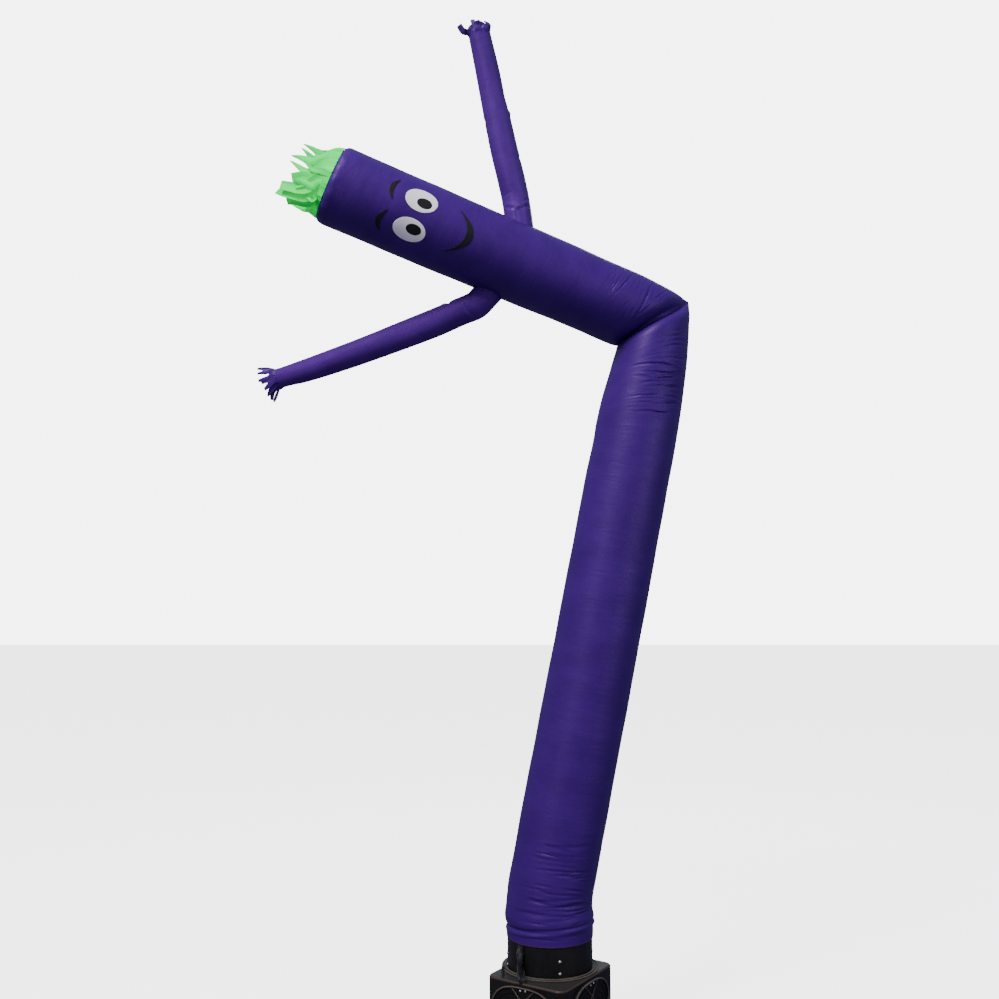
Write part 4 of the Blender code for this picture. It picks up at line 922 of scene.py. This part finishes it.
# ---- Hair ---------------------------------------------------------------------------------
# Each strip's place round the head's end, where its middle and its tip are blown to (how far
# out, across the head and away from the camera), its width, how much of it is left at the tip,
# and how far it twists. The first half is seen from the front.
HAIR = (
    # angle, out,   across, away,   out,   across, away,   width, tip,  twist
    (350.0, 0.132, 0.134, 0.000, 0.202, 0.125, 0.000, 0.040, 0.30, 0.3),
    (338.0, 0.140, 0.108, -0.030, 0.252, 0.131, 0.000, 0.040, 0.12, -0.2),
    (325.0, 0.130, 0.085, -0.080, 0.190, 0.070, -0.060, 0.044, 0.60, 0.8),
    (316.0, 0.144, 0.052, -0.100, 0.247, 0.088, -0.030, 0.042, 0.15, 0.2),
    (305.0, 0.171, 0.022, -0.120, 0.280, 0.037, -0.030, 0.044, 0.12, -0.3),
    (296.0, 0.080, -0.038, -0.165, 0.183, -0.129, -0.110, 0.040, 0.80, 1.0),
    (286.0, 0.151, -0.037, -0.140, 0.270, -0.009, -0.060, 0.046, 0.15, 0.3),
    (276.0, 0.122, -0.054, -0.150, 0.222, -0.090, -0.100, 0.052, 1.00, -0.2),
    (266.0, 0.130, -0.020, -0.160, 0.190, 0.010, -0.120, 0.036, 0.50, 0.9),
    (257.0, 0.136, -0.122, -0.140, 0.262, -0.152, -0.080, 0.058, 0.90, 0.2),
    (247.0, 0.095, -0.105, -0.160, 0.205, -0.104, -0.120, 0.034, 0.60, -0.5),
    (237.0, 0.120, -0.159, -0.120, 0.270, -0.176, -0.050, 0.058, 0.60, 0.4),
    (226.0, 0.081, -0.161, -0.150, 0.112, -0.153, -0.130, 0.034, 0.80, 0.3),
    (214.0, 0.096, -0.175, -0.100, 0.205, -0.192, -0.020, 0.044, 0.80, -0.6),
    (200.0, 0.084, -0.186, -0.060, 0.110, -0.190, -0.020, 0.040, 0.50, 0.2),
    (188.0, 0.120, -0.176, 0.000, 0.190, -0.186, 0.010, 0.044, 0.70, 0.5),
    (5.0, 0.120, 0.150, 0.040, 0.180, 0.126, 0.030, 0.042, 0.40, -0.3),
    (17.0, 0.130, 0.128, 0.070, 0.210, 0.100, 0.040, 0.040, 0.20, 0.4),
    (29.0, 0.120, 0.100, 0.100, 0.170, 0.112, 0.050, 0.042, 0.50, -0.5),
    (41.0, 0.130, 0.080, 0.120, 0.180, 0.060, 0.070, 0.040, 0.30, 0.7),
    (53.0, 0.130, 0.050, 0.130, 0.180, 0.060, 0.080, 0.044, 0.80, -0.2),
    (65.0, 0.130, 0.030, 0.150, 0.170, 0.020, 0.100, 0.040, 0.40, 0.5),
    (77.0, 0.120, 0.000, 0.150, 0.170, 0.015, 0.090, 0.044, 0.90, -0.6),
    (89.0, 0.130, -0.030, 0.160, 0.180, -0.040, 0.110, 0.040, 0.30, 0.3),
    (101.0, 0.130, -0.060, 0.150, 0.185, -0.085, 0.090, 0.046, 0.70, -0.4),
    (113.0, 0.130, -0.090, 0.140, 0.190, -0.110, 0.080, 0.040, 0.50, 0.8),
    (125.0, 0.130, -0.120, 0.120, 0.200, -0.140, 0.060, 0.044, 0.60, -0.2),
    (137.0, 0.120, -0.140, 0.100, 0.170, -0.150, 0.050, 0.040, 0.80, 0.5),
    (149.0, 0.130, -0.150, 0.080, 0.215, -0.165, 0.030, 0.042, 0.30, -0.5),
    (161.0, 0.110, -0.165, 0.050, 0.150, -0.170, 0.030, 0.040, 0.60, 0.4),
    (174.0, 0.115, -0.172, 0.030, 0.180, -0.175, 0.020, 0.042, 0.50, -0.3),
)
HAIR_ROOT, HAIR_LEAD = 0.040, 0.034     # how far out the strips start, and then run straight
ROOT_SHARE, LEAD_SHARE = 0.925, 0.84    # of the head's size, at those two places
HAIR_WAVER = HAIR_CUP = 0.005


def build_hair():
    """Flat green strips sewn round the head's end and blown about by the air that leaves it."""
    strips = Strips()
    centre, across, back, onward, wide, deep = (v[0] for v in section(TUBE_KNOTS[-1]))
    for k, (angle, *places, width, left, twist) in enumerate(HAIR):
        mid, tip = places[:3], places[3:]
        c, s = cos_sin(angle)
        knots = [(HAIR_ROOT, wide * ROOT_SHARE * c, deep * ROOT_SHARE * s),
                 (HAIR_ROOT + HAIR_LEAD, wide * LEAD_SHARE * c, deep * LEAD_SHARE * s),
                 mid, [0.45 * m + 0.55 * t for m, t in zip(mid, tip)], tip]
        blown(strips, centre, (onward, across, back), knots, back * c - across * s, width, left,
              twist, HAIR_WAVER, k, HAIR_CUP if k % 3 else -HAIR_CUP)
    made = strips.make("hair_strips", GREEN)
    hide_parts("hair")
    finish_piece(made)
    return made, strips


hair, hair_strips = build_hair()


# ---- Face ---------------------------------------------------------------------------------
FACE_ANGLE, FACE_CURVE = 259.0, 0.227
EYE_ALONG, EYE_APART, EYE_WIDE, EYE_TALL = 1.450, 0.180, 0.135, 0.175
PUPIL_WIDE, PUPIL_TALL, PUPIL_SHIFT = 0.060, 0.082, (0.012, -0.020)
BROW_ALONG, BROW_WIDE, BROW_THICK, BROW_ARCH = 1.590, 0.130, 0.022, 0.026
SMILE_ALONG, SMILE_WIDE, SMILE_DROP, SMILE_THICK = 1.240, 0.250, 0.090, 0.034
BROW_SPREAD = 1.08        # the brows' distance apart, over the eyes'
FACE_LIFT, PATCH = 0.0006, 0.0011       # clearance under the face, and its cloth's thickness
PATCH_EDGE, PATCH_SUNK = 0.45, 0.0004   # share of the thickness at the rim, and its turned edge
OVAL_POINTS, SMILE_POINTS = 64, 44
STITCH_INSET, STITCH_STEP, STITCH_LONG = 0.0050, 0.0064, 0.0040
BROW_INSET = STITCH_INSET * 0.7
THREAD_WIDE, THREAD_THICK, THREAD_RISE = 0.0009, 0.0007, 0.0003


def on_face(places, out):
    """Points over the tube's front at (sideways, up the face) in metres."""
    places = np.asarray(places, float)
    return tube_points(places[..., 1], FACE_ANGLE + np.degrees(places[..., 0] / FACE_CURVE), out)


def sewn_patch(name, outline, spine, lift, material, slot, rings=9):
    """A thin piece sewn flat on the face, as rings from its spine out to its outline."""
    outline, spine = np.asarray(outline, float), np.asarray(spine, float)
    count = len(outline)
    shares = np.concatenate([np.linspace(0.0, 0.94, rings)[1:], [1.0]])
    flat = spine[None] + (outline - spine)[None] * shares[:, None, None]
    edge = np.where(shares > 0.99, PATCH * PATCH_EDGE, PATCH)[:, None]
    top = on_face(flat, lift + edge)
    bottom = on_face(flat[-1:], lift - PATCH_SUNK)
    points = np.concatenate([top.reshape(-1, 3), bottom.reshape(-1, 3),
                             on_face(spine, lift + PATCH)])
    levels = len(shares)
    places = np.concatenate([flat.reshape(-1, 2), flat[-1], spine])
    faces = []
    for j in range(count):
        k = (j + 1) % count
        for level in range(levels):
            a, b = level * count, (level + 1) * count
            faces.append([a + j, b + j, b + k, a + k])
        heart = (levels + 1) * count
        faces.append([heart + j, j, k, heart + k])
    uvs = [places[i] for face in faces for i in face]
    made = mesh_object(f"{name}_cloth", points, faces, material, uvs, 60.0)
    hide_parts(name)
    finish_piece(made)
    return made


def stitches(outline, inset, thread, lift):
    """Short threads along the inside of a piece's edge."""
    outline = np.asarray(outline, float)
    way = unit(np.roll(outline, -1, 0) - np.roll(outline, 1, 0))
    line = outline + np.stack([-way[:, 1], way[:, 0]], -1) * inset
    closed = np.concatenate([line, line[:1]])
    run = run_along(closed)
    for start in np.arange(0.0, run[-1] - STITCH_LONG, STITCH_STEP):
        at = start + np.array([0.0, 0.25, 0.75, 1.0]) * STITCH_LONG
        flat = np.stack([np.interp(at, run, c) for c in closed.T], -1)
        path = np.concatenate([on_face(flat[i:i + 1], lift + THREAD_RISE * way_up)
                               for i, way_up in enumerate((-1, 1, 1, -1))])
        out = unit(on_face(flat, 0.01) - on_face(flat, 0.0))
        sides = np.cross(unit(np.gradient(path, axis=0)), out)
        thread.add(path, sides, THREAD_WIDE, THREAD_THICK)


def oval(middle, wide, tall, count=OVAL_POINTS):
    """The outline of an oval."""
    turn = full_turn(count)
    return np.stack([middle[0] + wide / 2 * np.cos(turn), middle[1] + tall / 2 * np.sin(turn)], -1)


def crescent(middle, wide, arch, thick, count=30):
    """The outline of a crescent with blunt ends, and the spine inside it."""
    t = np.linspace(1.0, -1.0, count)
    x, rise = wide / 2 * t, arch * (1.0 - t * t)
    swell = thick / 2 * (1.0 - t * t) + 0.003
    upper = np.stack([middle[0] + x, middle[1] + rise + swell], -1)
    lower = np.stack([middle[0] + x, middle[1] + rise - swell], -1)[::-1]
    spine = np.stack([middle[0] + x * 0.985, middle[1] + rise], -1)
    return np.concatenate([upper, lower]), np.concatenate([spine, spine[::-1]])


def build_face():
    """Eyes, pupils, brows and a smile, each sewn on with a line of stitches."""
    pieces, dark, pale = [], Strips(), Strips()
    white, black = (WHITE, "white_nylon"), (BLACK, "black_nylon")

    def sew(name, outline, spine, level, dyed, thread, inset=STITCH_INSET):
        """One piece, laid on so many others."""
        lift = FACE_LIFT + level * PATCH
        pieces.append(sewn_patch(name, outline, spine, lift, *dyed))
        stitches(outline, inset, thread, lift + PATCH)

    for side, name in ((-1, "left"), (1, "right")):
        eye = (side * EYE_APART / 2, EYE_ALONG)
        pupil = (eye[0] - side * PUPIL_SHIFT[0], EYE_ALONG + PUPIL_SHIFT[1])
        brow = (side * EYE_APART / 2 * BROW_SPREAD, BROW_ALONG)
        sew(f"eye_{name}", oval(eye, EYE_WIDE, EYE_TALL), [eye] * OVAL_POINTS, 0, white, pale)
        sew(f"pupil_{name}", oval(pupil, PUPIL_WIDE, PUPIL_TALL), [pupil] * OVAL_POINTS, 1,
            black, dark)
        sew(f"brow_{name}", *crescent(brow, BROW_WIDE, BROW_ARCH, BROW_THICK), 0, black, dark,
            BROW_INSET)
    sew("smile", *crescent((0.0, SMILE_ALONG), SMILE_WIDE, -SMILE_DROP, SMILE_THICK,
                           SMILE_POINTS), 0, black, dark)
    for name, thread, (material, slot) in (("dark_stitches", dark, black),
                                           ("pale_stitches", pale, white)):
        pieces.append(finish_piece(thread.make(name, material)))
    return pieces


face = build_face()


# ---- Strap --------------------------------------------------------------------------------
STRAP_WIDE, STRAP_THICK, STRAP_CUP = 0.044, 0.0026, 0.004
STRAP_STEPS = 60
STRAP_ANGLE = math.radians(-134.0)
STRAP_PATH = (
    # out,    z,      aside
    (0.2283, 0.5996, 0.000),
    (0.2310, 0.5700, 0.001),
    (0.2400, 0.5200, 0.008),
    (0.2500, 0.4800, 0.020),
    (0.2610, 0.4560, 0.036),
    (0.2760, 0.4440, 0.056),
    (0.2940, 0.4416, 0.076),
)
# The strap hangs doubled. For each layer, how far it lies aside and stands off, how it twists
# and how it narrows from the hem down.
STRAP_LAYERS = (
    (0.000, 0.001, ((0.0, 0.0), (0.3, 0.35), (0.6, -0.25), (1.0, 0.0)),
     ((0.0, 0.90), (0.2, 1.10), (0.4, 0.95), (0.7, 1.0), (1.0, 0.95))),
    (0.004, 0.010, ((0.0, 0.0), (0.2, -0.5), (0.5, 0.4), (1.0, 0.1)),
     ((0.0, 0.80), (0.2, 0.95), (0.5, 0.75), (0.8, 0.95), (1.0, 0.85))),
)


def build_strap():
    """The loose doubled end of the strap, which hangs out of the cuff."""
    out = np.array([math.cos(STRAP_ANGLE), math.sin(STRAP_ANGLE), 0.0])
    aside = np.array([-out[1], out[0], 0.0])
    rows = np.array(STRAP_PATH)
    knots = run_along(rows)
    at = np.linspace(0.0, knots[-1], STRAP_STEPS)
    away, z, drift = (smooth_curve(knots, c, at) for c in rows.T)
    path = out * away[:, None] + aside * drift[:, None] + np.array([0, 0, 1.0]) * z[:, None]
    share = np.linspace(0.0, 1.0, len(path))
    way = unit(np.gradient(path, axis=0))
    sides = unit(aside - way * (way @ aside)[:, None])
    strips = Strips()
    for layer, lift, turned, narrow in STRAP_LAYERS:
        spin = np.interp(share, *np.array(turned).T)[:, None]
        wide = STRAP_WIDE * np.interp(share, *np.array(narrow).T)
        strips.add(path + out * lift * np.sin(math.pi * share)[:, None] + aside * layer,
                   spun(sides, way, spin), wide, STRAP_THICK,
                   cup=STRAP_CUP * np.sin(math.pi * share))
    made = strips.make("strap_end", STRAP)
    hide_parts("strap")
    finish_piece(made)
    return made, float(knots[-1])


strap, strap_length = build_strap()


# ---- Blower -------------------------------------------------------------------------------
def on_box(points):
    """Points given on the box's own axes, in the part's frame."""
    points = np.asarray(points, float)
    c, s = math.cos(BOX_TURN), math.sin(BOX_TURN)
    x, y, z = points[..., 0], points[..., 1], points[..., 2]
    return np.stack([BOX_MIDDLE[0] + x * c - y * s, BOX_MIDDLE[1] + x * s + y * c, z], -1)


def skins(name, sets, material, sharp=35.0):
    """One mesh of closed skins, each through loops of points and capped, or joined in a ring."""
    points, faces, start = [], [], 0
    for loops, ring in sets:
        rows, count = loops.shape[:2]
        for i in range(rows if ring else rows - 1):
            low, high = start + i * count, start + (i + 1) % rows * count
            for j in range(count):
                k = (j + 1) % count
                faces.append([low + j, low + k, high + k, high + j])
        if not ring:
            faces.append([start + j for j in range(count - 1, -1, -1)])
            faces.append([start + (rows - 1) * count + j for j in range(count)])
        points.append(loops.reshape(-1, 3))
        start += rows * count
    return mesh_object(name, np.concatenate(points), faces, material, sharp=sharp)


def wire(path, radius, ring, sides=8):
    """The loops of a round wire along a path that lies in one plane."""
    path = np.asarray(path, float)
    onward = unit(np.roll(path, -1, 0) - np.roll(path, 1, 0) if ring
                  else np.gradient(path, axis=0))
    guide = np.linalg.svd(path - path.mean(0))[2][2]
    first = unit(np.cross(onward, np.broadcast_to(guide, onward.shape)))
    second = np.cross(onward, first)
    turn = full_turn(sides)[None, :, None]
    return (path[:, None] + radius * (first[:, None] * np.cos(turn)
                                      + second[:, None] * np.sin(turn)), ring)


def dome(place, out, radius, height, sides=16):
    """The loops of a rivet's or bolt's low round head."""
    first = unit(np.cross(out, (0.1, 0.2, 1.0)))
    second = np.cross(out, first)
    turn = full_turn(sides)[:, None]
    circle = first * np.cos(turn) + second * np.sin(turn)
    levels = ((1.0, -0.2), (1.0, 0.1), (0.85, 0.6), (0.5, 0.92), (0.15, 1.0))
    return (np.stack([place + circle * radius * r + out * height * h for r, h in levels]), False)


GUARD_SIDES = (("left", BOX_WIDTH / 2, -90.0), ("right", BOX_LENGTH / 2, 0.0),
               ("back", BOX_WIDTH / 2, 90.0), ("rear", BOX_LENGTH / 2, 180.0))
GUARD_RIM, GUARD_DISH, GUARD_SUNK = 0.012, 0.022, 0.005
GUARD_RINGS = (0.84, 0.70, 0.56, 0.42, 0.28, 0.14)     # shares of the guard's half width
GUARD_BAR = ((-0.068, 0.190), (0.190, -0.068))         # one of four, each a quarter turn on
GUARD_BOLTS = ((-0.012, 0.181), (0.018, 0.184))
BEAD_WIRE, RING_WIRE, BAR_WIRE = 0.0042, 0.0017, 0.0026
RIVETS = ((-79.5, 0.530), (-79.5, 0.471), (-176.0, 0.512), (-176.0, 0.454),
          (100.5, 0.530), (100.5, 0.471), (4.0, 0.512), (4.0, 0.454))   # degrees round, height
RIVET_HEAD, RIVET_RISE, BOLT_HEAD, BOLT_RISE = 0.0080, 0.0045, 0.0055, 0.0040
BEAD_STEPS, BAR_STEPS, RIM_SHARE = 128, 9, 0.978
FLANGE_BEADS = ((0.2520, 0.004), (0.2380, 0.008))      # radius, and height over the box


def on_guard(out, turn, aside, up, away):
    """Points over one side of the box."""
    aside, up, away = np.broadcast_arrays(aside, up, np.asarray(away, float) + out)
    c, s = cos_sin(turn)
    height = (BOX_FOOT + BOX_TOP) / 2
    return on_box(np.stack([away * c - aside * s, away * s + aside * c, height + up], -1))


def guard_loop(share, count=96):
    """A guard's outline at a share of its size: how far aside and how far up."""
    turn = full_turn(count)
    return [share * GUARD_HALF * np.sign(f) * np.abs(f) ** (2.0 / GUARD_SQUARENESS)
            for f in (np.cos(turn), np.sin(turn))]


def dish(aside, up):
    """How far the guard's wires stand out at a place on it."""
    share = np.minimum(np.hypot(aside, up) / GUARD_HALF, 1.0)
    return GUARD_RIM + (GUARD_DISH - GUARD_RIM) * (1.0 - share ** 2) - BAR_WIRE


def build_blower():
    """The intake guards of the four sides, the rivets and bolts, and the flange's beads."""
    bright = []
    for name, out, turn in GUARD_SIDES:
        levels = [(1.0, 0.0005), (1.0, GUARD_RIM - 0.002), (0.955, GUARD_RIM - 0.002),
                  (0.950, GUARD_RIM - GUARD_SUNK), (0.40, GUARD_DISH - 0.002 - GUARD_SUNK)]
        loops = np.stack([on_guard(out, turn, *guard_loop(share), away)
                          for share, away in levels])
        # A near-black cap behind the guard: painted shade for the intake's inside.
        back = skins(f"intake_{name}_painted_shade", [(loops, False)], DARK)
        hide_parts(f"intake_guard_{name}")
        finish_piece(back)
        rim = guard_loop(RIM_SHARE)
        wires = [wire(on_guard(out, turn, *rim, GUARD_RIM), BEAD_WIRE, True)]
        rings = [wire(on_guard(out, turn, *loop, dish(*loop).mean()), RING_WIRE, True, 6)
                 for loop in map(guard_loop, GUARD_RINGS)]
        finish_piece(skins(f"intake_{name}_rings", rings, STEEL))
        for quarter in range(4):
            a, b = (np.linspace(*pair, BAR_STEPS) for pair in zip(*GUARD_BAR))
            for _ in range(quarter):
                a, b = b, -a
            wires.append(wire(on_guard(out, turn, a, b, dish(a, b)), BAR_WIRE, False))
        finish_piece(skins(f"intake_{name}_wires", wires, TRIM))
        facing = on_guard(out, turn, 0.0, 0.0, 1.0) - on_guard(out, turn, 0.0, 0.0, 0.0)
        bright += [dome(on_guard(out, turn, a, b, float(dish(a, b)) + BAR_WIRE), facing,
                        BOLT_HEAD, BOLT_RISE) for a, b in GUARD_BOLTS]
    middle = np.array((COLLAR_LOW + COLLAR_HIGH) / 2)
    for degrees, height in RIVETS:
        facing = np.array([*cos_sin(degrees), 0.0])
        place = np.array([middle[0], middle[1], height]) + facing * OUTLET_RADIUS
        bright.append(dome(place, facing, RIVET_HEAD, RIVET_RISE))
    finish_piece(skins("rivets", bright, BRIGHT))
    # Pale beads round the flange's edges: partly worn edges, partly a painted highlight.
    turn = full_turn(BEAD_STEPS)
    beads = [wire(np.stack([middle[0] + radius * np.cos(turn), middle[1] + radius * np.sin(turn),
                            np.full(BEAD_STEPS, BOX_TOP + high)], -1), BEAD_WIRE, True)
             for radius, high in FLANGE_BEADS]
    finish_piece(skins("flange_beads_wear_and_highlight", beads, TRIM))


build_blower()
for node, material in (("outlet_collar", STEEL), ("outlet_flange", STEEL), ("housing", HOUSING),
                       ("ground_pad", RUBBER), ("peg", RUBBER)):
    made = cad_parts[node]
    made.data.materials.clear()
    made.data.materials.append(material)


# ---- Camera, light and floor --------------------------------------------------------------
PHOTO_PIXELS, FOCAL_PIXELS, SENSOR = 999.0, 1070.0, 36.0
CAMERA_PLACE, CAMERA_PITCH = (-0.268, -5.9, 2.34), 95.7     # degrees up from straight down
LIGHTS = (
    # name,   place,                aimed at,         wide, tall, power,  colour
    ("key", (-4.4, -6.45, 11.3), (-0.2, 0.0, 3.0), 4.0, 4.0, 1600.0, (1.0, 0.98, 0.96)),
    ("sheen", (-4.9, -6.5, 3.3), (0.2, 0.0, 3.0), 0.9, 5.6, 68.0, (0.94, 0.90, 1.0)),
    ("fill", (6.0, -5.0, 3.5), (0.3, 0.0, 2.5), 5.0, 5.0, 150.0, (0.90, 0.93, 1.0)),
    ("back", (1.5, 7.5, 7.5), (0.0, 0.0, 3.0), 4.0, 4.0, 260.0, (1.0, 1.0, 1.0)),
)
FLOOR_HALF, WHITE_LIGHT = 60, (1.0, 1.0, 1.0, 1.0)


def area_light(name, place, aim, wide, tall, power, colour):
    light = bpy.data.lights.new(name, "AREA")
    light.shape, light.size, light.size_y = "ELLIPSE", wide, tall
    light.energy, light.color = power, colour
    made = bpy.data.objects.new(name, light)
    made.location = place
    made.rotation_euler = (Vector(aim) - Vector(place)).to_track_quat("-Z", "Y").to_euler()
    bpy.context.scene.collection.objects.link(made)


def set_the_stage():
    """The photo's camera, a pale floor and backdrop, and the lights."""
    scene = bpy.context.scene
    camera = bpy.data.objects.new("camera", bpy.data.cameras.new("camera"))
    camera.location = CAMERA_PLACE
    camera.rotation_euler = (math.radians(CAMERA_PITCH), 0.0, 0.0)
    camera.data.sensor_width = SENSOR
    camera.data.lens = FOCAL_PIXELS / PHOTO_PIXELS * SENSOR
    scene.collection.objects.link(camera)
    scene.camera = camera

    ground = Finish("pale_ground", (0.80, 0.80, 0.80), 0.9)
    tune(ground.shader, Emission_Color=WHITE_LIGHT, Emission_Strength=3.4)
    corners = [(FLOOR_HALF * x, FLOOR_HALF * y, 0)
               for x, y in ((-1, -1), (1, -1), (1, 1), (-1, 1))]
    floor = mesh_object("floor", corners, [[0, 1, 2, 3]], ground.material)
    floor.visible_diffuse = floor.visible_glossy = False

    world = bpy.data.worlds.new("studio")
    world.use_nodes = True
    scene.world = world
    tree = world.node_tree
    tree.nodes.clear()
    coords, split, ramp, lit, seen, path, mix, out, remap = (
        tree.nodes.new(f"ShaderNode{kind}")
        for kind in ("TexCoord", "SeparateXYZ", "ValToRGB", "Background", "Background",
                     "LightPath", "MixShader", "OutputWorld", "MapRange"))
    tune(remap, From_Min=-1.0)
    link = tree.links.new
    link(coords.outputs["Generated"], split.inputs["Vector"])
    link(split.outputs["Z"], remap.inputs["Value"])
    link(remap.outputs["Result"], ramp.inputs["Fac"])
    elements = ramp.color_ramp.elements
    elements[0].position, elements[0].color = 0.42, (0.12, 0.11, 0.20, 1.0)
    elements[1].position, elements[1].color = 0.80, (0.26, 0.29, 0.44, 1.0)
    link(ramp.outputs["Color"], lit.inputs["Color"])
    tune(lit, Strength=1.0)
    tune(seen, Color=WHITE_LIGHT, Strength=6.0)
    link(path.outputs["Is Camera Ray"], mix.inputs["Fac"])
    link(lit.outputs["Background"], mix.inputs[1])
    link(seen.outputs["Background"], mix.inputs[2])
    link(mix.outputs["Shader"], out.inputs["Surface"])

    for light in LIGHTS:
        area_light(*light)


set_the_stage()
